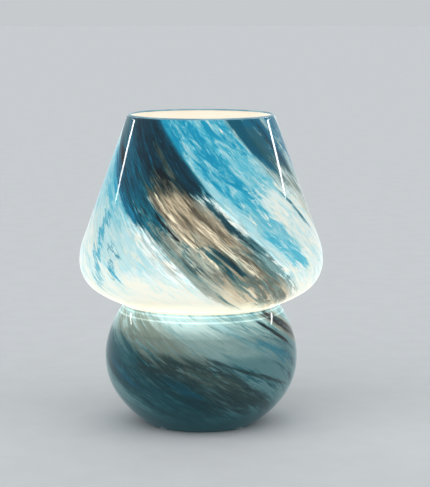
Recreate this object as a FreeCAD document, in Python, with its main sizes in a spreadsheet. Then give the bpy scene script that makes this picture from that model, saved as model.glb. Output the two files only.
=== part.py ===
"""Mushroom table lamp: one blown glass body (shade, waist and globe base) with a lampholder
hung in its waist on a three-armed bracket, and a small-thread globe bulb that screws out.

Frame: millimetres, +Z up, the origin on the table under the lamp's axis. -Y is the front, and
the cord leaves the base at the back, on the +Y side.
"""
import FreeCAD, Part
import math
import os
import re
import sys

import Sketcher
from FreeCAD import Placement, Rotation, Vector

# Driving dimensions, in millimetres, degrees or counts. Each word names a cell of the sheet.
SIZES = {
    # outer form of the glass, from the rim down to the foot
    "lamp_height": 250.0,
    "rim_radius": 58.4,
    "shade_radius": 97.9,
    "shade_height": 132.9,           # level of the shade's widest ring
    "shoulder_upper_radius": 48.8,
    "shoulder_lower_radius": 28.0,
    "shoulder_lower_arc": 55.8,
    "underside_radius": 84.2,
    "waist_fillet": 2.5,
    "base_radius": 77.7,
    "base_height": 54.5,             # level of the globe's widest ring
    "base_upper_radius": 57.7,
    "base_upper_arc": 13.5,
    "base_crown_radius": 78.2,
    "base_lower_radius": 54.9,
    "base_lower_arc": 37.0,
    "base_bottom_radius": 83.4,
    "glass_wall": 3.2,
    "rim_wall": 2.4,
    "rim_rounding": 0.9,
    "foot_width": 9.0,               # ground ring that carries the pads
    "punty_rise": 3.0,               # hollow under the base inside that ring
    "floor_wall": 6.0,
    # feet and cord hole
    "pad_count": 4,
    "pad_radius": 4.2,
    "pad_height": 1.5,
    "pad_bevel": 0.9,
    "cord_drop_angle": 30.0,         # the hole points this far below level
    "cord_hole_radius": 5.0,
    "cord_bore_radius": 3.2,
    "grommet_flange_radius": 7.0,
    "grommet_flange": 1.6,
    "grommet_barb": 0.8,             # lip behind the glass, past the hole's edge
    "grommet_nose_radius": 4.6,
    # bracket, clips and boots
    "arm_count": 3,
    "arm_width": 12.0,
    "bracket_sheet": 1.5,
    "hub_radius": 23.0,
    "hub_drop": 12.3,                # hub below the arm tips
    "arm_crease": 24.0,              # radius where an arm starts to rise
    "arm_bend": 44.0,                # radius where it turns level again
    "seat_reach": 11.0,              # boot tip outside the waist ridge
    "boot_wall": 1.0,
    "boot_length": 11.0,
    "clip_sheet": 0.6,
    "clip_width": 9.0,
    "clip_rivet_reach": 8.0,         # rivet inside the waist ridge
    "clip_toe_drop": 9.0,
    "clip_margin": 1.0,              # clip's flat beyond the rivet head
    "sleeve_wall": 0.8,
    "sleeve_length": 4.0,
    "rivet_radius": 1.5,
    "rivet_head_radius": 2.8,
    "rivet_head": 1.1,
    # lampholder
    "holder_thread_radius": 14.0,
    "holder_radius": 15.0,
    "holder_shoulder_radius": 17.0,
    "holder_shoulder": 4.0,
    "holder_chamfer": 0.8,
    "holder_bore_radius": 11.2,
    "holder_lip_radius": 8.8,
    "holder_lip": 1.5,
    "holder_stand": 7.5,             # mouth above the hub's underside
    "holder_depth": 34.0,            # parting line below the hub's underside
    "spigot_radius": 13.2,
    "spigot_length": 6.0,
    "washer": 0.8,
    "ring_height": 4.8,
    "ring_radius": 17.8,
    "ring_flange_radius": 21.0,
    "ring_flange": 1.4,
    "ring_chamfer": 0.6,
    "ring_grips": 18,
    "ring_grip_radius": 0.9,
    "cap_room": 7.8,                 # depth inside the lower cap
    "cap_depth": 10.0,
    "cap_chamfer": 2.0,
    "cap_ledge": 1.7,
    "collar_radius": 7.0,
    "collar_length": 6.0,
    "nipple_radius": 4.6,
    "cup_radius": 8.5,
    "cup_drop": 3.0,                 # cup's floor below the bulb's contact tip
    "terminal_offset": 6.4,
    "terminal_width": 5.0,
    "terminal_height": 6.0,
    "terminal_bore": 4.8,
    "terminal_screw_length": 4.2,
    "terminal_screw_radius": 1.25,
    "terminal_head_radius": 2.2,
    "terminal_head": 1.4,
    "screw_slot": 0.6,
    "contact_sheet": 0.4,
    "contact_width": 4.0,
    "contact_return": 1.0,           # free end of the contact above the cup's floor
    # small Edison thread and the bulb
    "thread_pitch": 2.822,
    "thread_radius": 6.6,
    "thread_throw": 0.4,
    "thread_turns": 4,
    "thread_gap": 0.25,
    "bulb_cap_length": 25.3,         # contact tip to housing
    "contact_radius": 2.3,
    "contact_height": 2.2,
    "contact_bevel": 0.5,
    "insulator_height": 3.5,
    "insulator_lip": 0.9,            # contact tip stands this far out of the insulator
    "insulator_plug": 2.0,
    "cap_wall": 0.55,
    "neck_radius": 7.15,
    "housing_length": 17.0,
    "housing_radius": 17.2,
    "housing_foot_radius": 9.0,
    "housing_wall": 1.7,
    "housing_spigot": 5.0,           # length inside the cap's neck
    "housing_spigot_wall": 0.9,
    "housing_band": 3.0,             # upright band at the mouth
    "housing_ledge": 1.6,
    "board_recess": 1.3,
    "board_sheet": 1.6,
    "globe_radius": 22.5,
    "globe_wall": 1.3,
    "globe_seat_radius": 16.6,
    "chip_count": 8,
    "chip_width": 2.8,
    "chip_height": 0.6,
    "chip_circle": 9.0,
    "driver_length": 28.0,
    "driver_sheet": 1.0,
    "capacitor_radius": 3.2,
    "capacitor_length": 7.0,
    "edge_bevel": 0.4,               # small eased edges
    # clearances
    "touch_gap": 0.05,               # between pieces that seat on each other
    "slip_gap": 0.1,                 # between a piece and the hole it slips into
    "seat_gap": 0.15,                # between soft pieces and curved glass
}

# Sizes worked out from the driving ones, in the same words.
DERIVED = {
    "upper_centre_x": "shade_radius - shoulder_upper_radius",
    "lower_centre_x": "shade_radius - shoulder_lower_radius",
    "under_centre_x": "lower_centre_x - (underside_radius - shoulder_lower_radius)"
                      " * cos(shoulder_lower_arc)",
    "under_centre_z": "shade_height + (underside_radius - shoulder_lower_radius)"
                      " * sin(shoulder_lower_arc)",
    "base_upper_x": "base_radius - base_upper_radius",
    "crown_centre_x": "base_upper_x - (base_crown_radius - base_upper_radius)"
                      " * cos(base_upper_arc)",
    "crown_centre_z": "base_height - (base_crown_radius - base_upper_radius)"
                      " * sin(base_upper_arc)",
    "base_lower_x": "base_radius - base_lower_radius",
    "bottom_centre_x": "base_lower_x - (base_bottom_radius - base_lower_radius)"
                       " * cos(base_lower_arc)",
    "bottom_centre_z": "base_height + (base_bottom_radius - base_lower_radius)"
                       " * sin(base_lower_arc)",
    # the waist's fillet touches the underside and the crown: its centre closes a triangle
    "waist_side_x": "under_centre_x - crown_centre_x",
    "waist_side_z": "under_centre_z - crown_centre_z",
    "waist_side": "sqrt(waist_side_x ^ 2 + waist_side_z ^ 2)",
    "waist_along": "((base_crown_radius + waist_fillet) ^ 2 - (underside_radius + waist_fillet) ^ 2"
                   " + waist_side ^ 2) / (2 * waist_side)",
    "waist_across": "sqrt((base_crown_radius + waist_fillet) ^ 2 - waist_along ^ 2)",
    "waist_x": "crown_centre_x + (waist_along * waist_side_x + waist_across * waist_side_z)"
               " / waist_side",
    "waist_z": "crown_centre_z + (waist_along * waist_side_z - waist_across * waist_side_x)"
               " / waist_side",
    "ridge_radius": "waist_x - waist_fillet - glass_wall",
    "foot_radius": "bottom_centre_x + sqrt(base_bottom_radius ^ 2"
                   " - (bottom_centre_z - pad_height) ^ 2)",
    "pad_circle": "foot_radius - foot_width / 2",
    # bracket
    "boot_tip": "ridge_radius + seat_reach",
    "boot_corner": "sqrt(boot_tip ^ 2 + (arm_width / 2 + boot_wall) ^ 2)",
    "seat_level": "under_centre_z - sqrt((underside_radius - glass_wall) ^ 2"
                  " - (boot_corner - under_centre_x) ^ 2)",
    "arm_level": "seat_level + seat_gap + boot_wall + touch_gap",
    "arm_tip": "boot_tip - boot_wall - touch_gap",
    "hub_level": "arm_level - hub_drop",
    "hub_bore_radius": "holder_thread_radius + 2 * slip_gap",
    "arm_mitre": "bracket_sheet * tan(atan(hub_drop / (arm_bend - arm_crease)) / 2)",
    "rivet_reach": "ridge_radius - clip_rivet_reach",
    "toe_level": "waist_z - clip_toe_drop",
    "toe_reach": "crown_centre_x + sqrt((base_crown_radius - glass_wall) ^ 2"
                 " - (toe_level + sleeve_length - crown_centre_z) ^ 2) - sleeve_wall - 5 * seat_gap",
    # lampholder
    "holder_top": "hub_level + holder_stand",
    "holder_split": "hub_level - holder_depth",
    "bulb_level": "holder_top - bulb_cap_length + 8 * slip_gap",
    "cup_level": "bulb_level - cup_drop",
    "thread_level": "bulb_level + insulator_height",
    "housing_level": "bulb_level + bulb_cap_length",
    "rim_level": "housing_level + housing_length",
    "board_level": "rim_level - board_recess - board_sheet",
    "globe_level": "rim_level + touch_gap + sqrt(globe_radius ^ 2 - globe_seat_radius ^ 2)",
}

doc = FreeCAD.newDocument("mushroom_lamp")
sheet = doc.addObject("Spreadsheet::Sheet", "Sizes")
for row, (word, size) in enumerate({**SIZES, **DERIVED}.items(), start=1):
    sheet.set("A%d" % row, word)
    sheet.set("B%d" % row, "=" + size if word in DERIVED else str(size))
    sheet.setAlias("B%d" % row, word)
doc.recompute()
SCRATCH_CELL = "D1"
NODES = []


def formula(text):
    """The same sum with each of the sheet's words made a reference to its cell."""
    def reference(match):
        word = match.group()
        return "Sizes." + word if word in SIZES or word in DERIVED else word
    return re.sub(r"[a-z_]+", reference, str(text))


def number(text):
    """What a sum in the sheet's words comes to now."""
    sheet.set(SCRATCH_CELL, "=" + str(text))
    sheet.recompute()
    return float(sheet.get(SCRATCH_CELL))


def bind(item, **sizes):
    """Bind an object's properties to sums in the sheet's words."""
    for name, text in sizes.items():
        item.setExpression(name, formula(text))


def new_body(name):
    body = doc.addObject("PartDesign::Body", name)
    body.Label = name
    NODES.append(body)
    return body


def datum(body, role):
    return [item for item in body.Origin.OriginFeatures if item.Role == role][0]


def new_sketch(body, name, plane="XZ_Plane", level="0"):
    """A sketch on one of the body's origin planes, raised by a level along its normal."""
    sketch = body.newObject("Sketcher::SketchObject", name)
    sketch.AttachmentSupport = [(datum(body, plane), "")]
    sketch.MapMode = "FlatFace"
    sketch.setExpression(".AttachmentOffset.Base.z", formula(level))
    return sketch


def size_constraint(sketch, text, kind, *where):
    """A dimension bound to a sum; a sum below zero is measured the other way round."""
    value = number(text)
    if value < 0:
        where = where[2:] + where[:2]
        text = "-(%s)" % text
    index = sketch.addConstraint(Sketcher.Constraint(kind, *where, abs(value)))
    sketch.setExpression("Constraints[%d]" % index, formula(text))


def pin_point(sketch, shape, end, across, up):
    """Hold a point of the sketch at a place given from the sketch's origin."""
    for kind, axis, text in (("DistanceX", -2, across), ("DistanceY", -1, up)):
        if str(text) == "0":
            sketch.addConstraint(Sketcher.Constraint("PointOnObject", shape, end, axis))
        else:
            size_constraint(sketch, text, kind, -1, 1, shape, end)


def draw_outline(sketch, corners):
    """A closed run of straight lines through corners given as pairs of sums."""
    spots = [Vector(number(across), number(up), 0) for across, up in corners]
    count = len(spots)
    for i in range(count):
        sketch.addGeometry(Part.LineSegment(spots[i], spots[(i + 1) % count]))
    for i in range(count):
        sketch.addConstraint(Sketcher.Constraint("Coincident", i, 2, (i + 1) % count, 1))
        pin_point(sketch, i, 1, *corners[i])


def draw_circle(sketch, across, up, radius):
    """A circle, or one more circle, with its centre and radius as sums."""
    centre = Vector(number(across), number(up), 0)
    index = sketch.addGeometry(Part.Circle(centre, Vector(0, 0, 1), number(radius)))
    size_constraint(sketch, radius, "Radius", index)
    pin_point(sketch, index, 3, across, up)


def revolve(body, sketch, kind="Revolution"):
    """Turn the sketch's profile about the body's Z axis, to add or to cut."""
    feature = body.newObject("PartDesign::" + kind, body.Name + "_" + kind.lower())
    feature.Profile = sketch
    feature.ReferenceAxis = (sketch, ["V_Axis"])
    feature.Angle = 360
    sketch.Visibility = False
    return feature


def turned(name, corners):
    """A piece turned on a lathe: its half section as pairs of radius and height."""
    body = new_body(name)
    sketch = new_sketch(body, name + "_section")
    draw_outline(sketch, corners)
    revolve(body, sketch)
    return body


def push(body, sketch, kind, length, side="One side", reverse=False):
    """Pad or pocket a sketch."""
    feature = body.newObject("PartDesign::" + kind, sketch.Name + "_" + kind.lower())
    feature.Profile = sketch
    feature.SideType = side
    feature.Reversed = reverse
    bind(feature, Length=length)
    return feature


def repeat_round(body, features, count):
    """Repeat features evenly about the body's Z axis."""
    pattern = body.newObject("PartDesign::PolarPattern", body.Name + "_pattern")
    pattern.Originals = features
    pattern.Axis = (datum(body, "Z_Axis"), [""])
    pattern.Angle = 360
    bind(pattern, Occurrences=count)
    body.Tip = pattern
    return pattern


def block(name, x_range, y_range, z_range):
    """A rectangular piece between pairs of sums."""
    body = new_body(name)
    sketch = new_sketch(body, name + "_side")
    draw_outline(sketch, [(x_range[0], z_range[0]), (x_range[1], z_range[0]),
                          (x_range[1], z_range[1]), (x_range[0], z_range[1])])
    sketch.setExpression(".AttachmentOffset.Base.z", formula("-(%s)" % y_range[1]))
    push(body, sketch, "Pad", "(%s) - (%s)" % (y_range[1], y_range[0]))
    return body


def on_circle(radius, azimuth):
    turn = math.radians(azimuth)
    return Vector(radius * math.cos(turn), radius * math.sin(turn), 0)


def about_axis(azimuth):
    return Placement(Vector(), Rotation(Vector(0, 0, 1), azimuth))


def arm_azimuths():
    """The first arm points back, so that the front window between two arms is open."""
    count = int(number("arm_count"))
    return [90 + 360 * i / count for i in range(count)]


# --- Glass ------------------------------------------------------------------------------------

def direction(start, end):
    return math.atan2(end.y - start.y, end.x - start.x)


def at_angle(centre, radius, angle):
    return centre + Vector(radius * math.cos(angle), radius * math.sin(angle), 0)


def draw_glass_side(sketch, inset, rim_inset, foot_level):
    """The glass's side from rim to foot: a straight cone and seven arcs, each tangent to the
    next. An inset draws the same side further in, about the same centres."""
    in_by = number(inset)

    def centre(across, up):
        return Vector(number(across), number(up), 0)

    upper = centre("upper_centre_x", "shade_height")
    lower = centre("lower_centre_x", "shade_height")
    under = centre("under_centre_x", "under_centre_z")
    waist = centre("waist_x", "waist_z")
    crown = centre("crown_centre_x", "crown_centre_z")
    base_upper = centre("base_upper_x", "base_height")
    base_lower = centre("base_lower_x", "base_height")
    bottom = centre("bottom_centre_x", "bottom_centre_z")
    rim = Vector(number("rim_radius") - number(rim_inset), number("lamp_height"), 0)

    upper_radius = number("shoulder_upper_radius") - in_by
    bottom_radius = number("base_bottom_radius") - in_by
    reach = (rim - upper).Length
    cone_angle = direction(upper, rim) - math.acos(upper_radius / reach)
    foot_angle = -math.asin((bottom.y - number(foot_level)) / bottom_radius)
    # centre, radius, the angles between which the arc runs, and what places its centre
    arcs = [
        (upper, "shoulder_upper_radius", 0, cone_angle),
        (lower, "shoulder_lower_radius", direction(under, lower), 0),
        (under, "underside_radius", direction(under, waist), direction(under, lower)),
        (waist, "waist_fillet", direction(waist, under), 2 * math.pi + direction(waist, crown)),
        (crown, "base_crown_radius", direction(crown, base_upper), direction(crown, waist)),
        (base_upper, "base_upper_radius", 0, direction(crown, base_upper)),
        (base_lower, "base_lower_radius", direction(bottom, base_lower), 0),
        (bottom, "base_bottom_radius", foot_angle, direction(bottom, base_lower)),
    ]
    tangent_to_cone = at_angle(upper, upper_radius, cone_angle)
    sketch.addGeometry(Part.LineSegment(rim, tangent_to_cone))
    for middle, word, low, high in arcs:
        radius = number(word) + (in_by if word == "waist_fillet" else -in_by)
        circle = Part.Circle(middle, Vector(0, 0, 1), radius)
        sketch.addGeometry(Part.ArcOfCircle(circle, low, high))

    cone, up_arc, low_arc, under_arc, waist_arc, crown_arc, base_up, base_low, foot_arc = range(9)
    joints = [(cone, 2, up_arc, 2), (up_arc, 1, low_arc, 2), (low_arc, 1, under_arc, 2),
              (under_arc, 1, waist_arc, 1), (waist_arc, 2, crown_arc, 2),
              (crown_arc, 1, base_up, 2), (base_up, 1, base_low, 2), (base_low, 1, foot_arc, 2)]
    for joint in joints:
        sketch.addConstraint(Sketcher.Constraint("Tangent", *joint))
    for arc, (_, word, _, _) in enumerate(arcs, start=1):
        sign = "+" if word == "waist_fillet" else "-"
        size_constraint(sketch, "%s %s %s" % (word, sign, inset), "Radius", arc)
    pin_point(sketch, cone, 1, "rim_radius - " + rim_inset, "lamp_height")
    pin_point(sketch, up_arc, 3, "upper_centre_x", "shade_height")
    size_constraint(sketch, "shade_height", "DistanceY", -1, 1, low_arc, 3)
    size_constraint(sketch, "under_centre_x", "DistanceX", -1, 1, under_arc, 3)
    pin_point(sketch, base_up, 3, "base_upper_x", "base_height")
    size_constraint(sketch, "crown_centre_z", "DistanceY", -1, 1, crown_arc, 3)
    size_constraint(sketch, "base_height", "DistanceY", -1, 1, base_low, 3)
    size_constraint(sketch, "bottom_centre_z", "DistanceY", -1, 1, foot_arc, 3)
    size_constraint(sketch, foot_level, "DistanceY", -1, 1, foot_arc, 1)
    return foot_arc, at_angle(bottom, bottom_radius, foot_angle)


def close_glass_section(sketch, foot_arc, foot, corners):
    """Straight lines from the end of the foot arc through the corners back to the rim."""
    spots = [foot] + [Vector(number(across), number(up), 0) for across, up in corners]
    rim = sketch.Geometry[0].StartPoint
    lines = []
    for start, end in zip(spots, spots[1:] + [rim]):
        lines.append(sketch.addGeometry(Part.LineSegment(start, end)))
    sketch.addConstraint(Sketcher.Constraint("Coincident", foot_arc, 1, lines[0], 1))
    for before, after in zip(lines, lines[1:]):
        sketch.addConstraint(Sketcher.Constraint("Coincident", before, 2, after, 1))
    sketch.addConstraint(Sketcher.Constraint("Coincident", lines[-1], 2, 0, 1))
    for line, corner in zip(lines[1:], corners):
        pin_point(sketch, line, 1, *corner)


def make_glass():
    """Shade, waist and base: one blown wall, its rim rounded, its foot ring ground flat."""
    body = new_body("glass_body")
    outside = new_sketch(body, "glass_outside")
    foot_arc, foot = draw_glass_side(outside, "0 * glass_wall", "0 * rim_wall", "pad_height")
    close_glass_section(outside, foot_arc, foot, [
        ("foot_radius - foot_width", "pad_height"), ("0", "pad_height + punty_rise"),
        ("0", "lamp_height")])
    revolve(body, outside)
    inside = new_sketch(body, "glass_inside")
    foot_arc, foot = draw_glass_side(inside, "glass_wall", "rim_wall",
                                     "pad_height + floor_wall")
    close_glass_section(inside, foot_arc, foot, [
        ("0", "pad_height + floor_wall"), ("0", "lamp_height")])
    revolve(body, inside, "Groove")
    drill = body.newObject("PartDesign::SubtractiveCylinder", "cord_hole")
    bind(drill, Radius="cord_hole_radius", Height="4 * glass_wall")
    drill.Placement = cord_exit(-2 * number("glass_wall"))
    doc.recompute()
    level = number("lamp_height")
    rings = ["Edge%d" % i for i, edge in enumerate(drill.Shape.Edges, start=1)
             if abs(edge.BoundBox.ZMin - level) < 0.01]
    rounding = body.newObject("PartDesign::Fillet", "rim_rounded")
    rounding.Base = (drill, rings)
    bind(rounding, Radius="rim_rounding")


def cord_exit(out_by):
    """The frame of the cord hole, on the base's outer face and then out along the hole."""
    drop = math.radians(number("cord_drop_angle"))
    normal = Vector(0, math.cos(drop), -math.sin(drop))
    centre = Vector(0, number("base_lower_x"), number("base_height"))
    spot = centre + normal * (number("base_lower_radius") + out_by)
    return Placement(spot, Rotation(Vector(0, 0, 1), normal))


def make_feet():
    """Clear bumpers on the ground ring, their top corners just inside its edges."""
    for i in range(int(number("pad_count"))):
        pad = turned("foot_pad_%d" % (i + 1), [
            ("0", "0"), ("pad_radius - pad_bevel", "0"),
            ("pad_radius", "pad_bevel"), ("pad_radius", "pad_height"),
            ("0", "pad_height")])
        azimuth = 45 + 360 * i / number("pad_count")
        pad.Placement = Placement(on_circle(number("pad_circle"), azimuth), Rotation())


def make_grommet():
    """Rubber bush gripping the glass, its bore for a round cord."""
    back = "-(glass_wall + cord_hole_radius ^ 2 / base_lower_radius / 2 + 3 * seat_gap)"
    grommet = turned("cord_grommet", [
        ("cord_bore_radius", back + " - grommet_flange"),
        ("grommet_nose_radius", back + " - grommet_flange"),
        ("cord_hole_radius + grommet_barb", back), ("cord_hole_radius - slip_gap", back),
        ("cord_hole_radius - slip_gap", "0"), ("grommet_flange_radius", "0"),
        ("grommet_flange_radius - 0.2 * grommet_flange", "0.7 * grommet_flange"),
        ("grommet_nose_radius", "1.6 * grommet_flange"),
        ("cord_bore_radius", "1.6 * grommet_flange")])
    grommet.Placement = cord_exit(0)


# --- Bracket ----------------------------------------------------------------------------------

def make_bracket():
    """Pressed steel spider: a hub with three arms that rise to rest above the waist."""
    body = new_body("bracket")
    plate = new_sketch(body, "hub_plate", "XY_Plane", "hub_level")
    draw_circle(plate, "0", "0", "hub_radius")
    draw_circle(plate, "0", "0", "hub_bore_radius")
    push(body, plate, "Pad", "bracket_sheet")
    side = new_sketch(body, "arm_side")
    root = "(hub_radius + hub_bore_radius) / 2"
    draw_outline(side, [
        (root, "hub_level"), ("arm_crease", "hub_level"), ("arm_bend", "arm_level"),
        ("arm_tip", "arm_level"), ("arm_tip", "arm_level + bracket_sheet"),
        ("arm_bend - arm_mitre", "arm_level + bracket_sheet"),
        ("arm_crease - arm_mitre", "hub_level + bracket_sheet"),
        (root, "hub_level + bracket_sheet")])
    arm = push(body, side, "Pad", "arm_width", "Symmetric")
    holes = new_sketch(body, "rivet_hole", "XY_Plane", "arm_level + 2 * bracket_sheet")
    draw_circle(holes, "rivet_reach", "0", "rivet_radius + slip_gap")
    hole = push(body, holes, "Pocket", "3 * bracket_sheet")
    repeat_round(body, [arm, hole], "arm_count")
    body.Placement = about_axis(arm_azimuths()[0])


def make_arm_pieces(index, azimuth):
    """What one arm carries: its boot, and a clip that snaps under the waist, with its rivet."""
    boot = new_body("arm_boot_%d" % index)
    side = new_sketch(boot, boot.Name + "_side")
    low = "arm_level - touch_gap - boot_wall"
    high = "arm_level + bracket_sheet + touch_gap + boot_wall"
    draw_outline(side, [("boot_tip - boot_length", low), ("boot_tip", low),
                        ("boot_tip", high + " - boot_wall"), ("boot_tip - boot_wall", high),
                        ("boot_tip - boot_length", high)])
    push(boot, side, "Pad", "arm_width + 2 * boot_wall", "Symmetric")
    slot = new_sketch(boot, boot.Name + "_slot")
    mouth = "boot_tip - boot_length - boot_wall"
    draw_outline(slot, [(mouth, "arm_level - touch_gap"),
                        ("arm_tip + touch_gap", "arm_level - touch_gap"),
                        ("arm_tip + touch_gap", "arm_level + bracket_sheet + touch_gap"),
                        (mouth, "arm_level + bracket_sheet + touch_gap")])
    push(boot, slot, "Pocket", "arm_width + 2 * touch_gap", "Symmetric")

    clip = new_body("spring_clip_%d" % index)
    side = new_sketch(clip, clip.Name + "_side")
    knee = "ridge_radius - 2 * seat_gap"
    bend = "rivet_reach + rivet_head_radius + clip_margin"
    heel = "rivet_reach - rivet_head_radius - clip_margin"
    draw_outline(side, [
        (heel, "arm_level - clip_sheet"), (bend + " - clip_sheet / 2", "arm_level - clip_sheet"),
        (knee + " - clip_sheet", "waist_z"), ("toe_reach - clip_sheet", "toe_level"),
        ("toe_reach", "toe_level"), (knee, "waist_z"), (bend, "arm_level"),
        (heel, "arm_level")])
    push(clip, side, "Pad", "clip_width", "Symmetric")
    hole = new_sketch(clip, clip.Name + "_hole", "XY_Plane", "arm_level + clip_sheet")
    draw_circle(hole, "rivet_reach", "0", "rivet_radius + slip_gap")
    push(clip, hole, "Pocket", "3 * clip_sheet")

    # the sleeve follows the clip's lower leg, so its ends lean with it
    lean = "(toe_reach - ridge_radius + 2 * seat_gap) / clip_toe_drop"
    sleeve = new_body("toe_sleeve_%d" % index)
    for kind, wall, width, stop in (("Pad", "sleeve_wall", "clip_width + 2 * sleeve_wall", "0"),
                                    ("Pocket", "touch_gap", "clip_width + 2 * touch_gap", "clip_sheet")):
        section = new_sketch(sleeve, "%s_%s" % (sleeve.Name, kind.lower()))
        foot = "toe_level - %s" % ("sleeve_wall" if kind == "Pad" else "touch_gap")
        top = "toe_level + sleeve_length + " + stop
        top_shift = "(%s) * (sleeve_length + %s)" % (lean, stop)
        foot_shift = "-(%s) * %s" % (lean, "sleeve_wall" if kind == "Pad" else "touch_gap")
        draw_outline(section, [
            ("toe_reach - clip_sheet - %s - (%s)" % (wall, foot_shift), foot),
            ("toe_reach + %s - (%s)" % (wall, foot_shift), foot),
            ("toe_reach + %s - %s" % (wall, top_shift), top),
            ("toe_reach - clip_sheet - %s - %s" % (wall, top_shift), top)])
        push(sleeve, section, kind, width, "Symmetric")

    rivet = turned("clip_rivet_%d" % index, [
        ("0", "arm_level - clip_sheet - rivet_head"),
        ("0.6 * rivet_head_radius", "arm_level - clip_sheet - rivet_head"),
        ("rivet_head_radius", "arm_level - clip_sheet"), ("rivet_radius", "arm_level - clip_sheet"),
        ("rivet_radius", "arm_level + bracket_sheet"),
        ("rivet_head_radius", "arm_level + bracket_sheet"),
        ("0.6 * rivet_head_radius", "arm_level + bracket_sheet + rivet_head"),
        ("0", "arm_level + bracket_sheet + rivet_head")])
    for body in (boot, clip, sleeve):
        body.Placement = about_axis(azimuth)
    rivet.Placement = Placement(on_circle(number("rivet_reach"), azimuth), Rotation())


# --- Lampholder -------------------------------------------------------------------------------

def make_holder_case():
    """Outer shell, ring nut, washer and lower cap, clamped on the bracket's hub."""
    shoulder = "hub_level - washer"
    turned("holder_shell", [
        ("holder_bore_radius", "holder_split"), ("spigot_radius", "holder_split"),
        ("spigot_radius", "holder_split + spigot_length"),
        ("holder_radius", "holder_split + spigot_length"),
        ("holder_radius", shoulder + " - holder_shoulder"),
        ("holder_shoulder_radius", shoulder + " - holder_shoulder + holder_chamfer"),
        ("holder_shoulder_radius", shoulder), ("holder_thread_radius", shoulder),
        ("holder_thread_radius", "holder_top - holder_chamfer"),
        ("holder_thread_radius - holder_chamfer", "holder_top"),
        ("holder_lip_radius", "holder_top"), ("holder_lip_radius", "holder_top - holder_lip"),
        ("holder_bore_radius", "holder_top - holder_lip")])
    turned("holder_washer", [
        ("hub_bore_radius", shoulder), ("holder_shoulder_radius - edge_bevel", shoulder),
        ("holder_shoulder_radius - edge_bevel", "hub_level"), ("hub_bore_radius", "hub_level")])
    seat = "hub_level + bracket_sheet"
    ring = turned("shade_ring", [
        ("holder_thread_radius + slip_gap", seat), ("ring_flange_radius", seat),
        ("ring_flange_radius", seat + " + ring_flange"), ("ring_radius", seat + " + ring_flange"),
        ("ring_radius", seat + " + ring_height - ring_chamfer"),
        ("ring_radius - ring_chamfer", seat + " + ring_height"),
        ("holder_thread_radius + slip_gap", seat + " + ring_height")])
    grip = new_sketch(ring, "ring_grip", "XY_Plane", seat + " + ring_height")
    draw_circle(grip, "ring_radius + ring_grip_radius / 3", "0", "ring_grip_radius")
    notch = push(ring, grip, "Pocket", "ring_height - ring_flange")
    repeat_round(ring, [notch], "ring_grips")
    step = "holder_split - touch_gap"
    floor = "holder_split - cap_depth"
    turned("holder_cap", [
        ("nipple_radius", floor + " - collar_length"), ("collar_radius", floor + " - collar_length"),
        ("collar_radius", floor), ("holder_radius - cap_chamfer", floor),
        ("holder_radius", floor + " + cap_chamfer"),
        ("holder_radius", "holder_split + spigot_length - touch_gap"),
        ("spigot_radius + slip_gap", "holder_split + spigot_length - touch_gap"),
        ("spigot_radius + slip_gap", step), ("holder_bore_radius - cap_ledge", step),
        ("holder_bore_radius - cap_ledge", step + " - cap_room"),
        ("nipple_radius", step + " - cap_room")])


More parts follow.
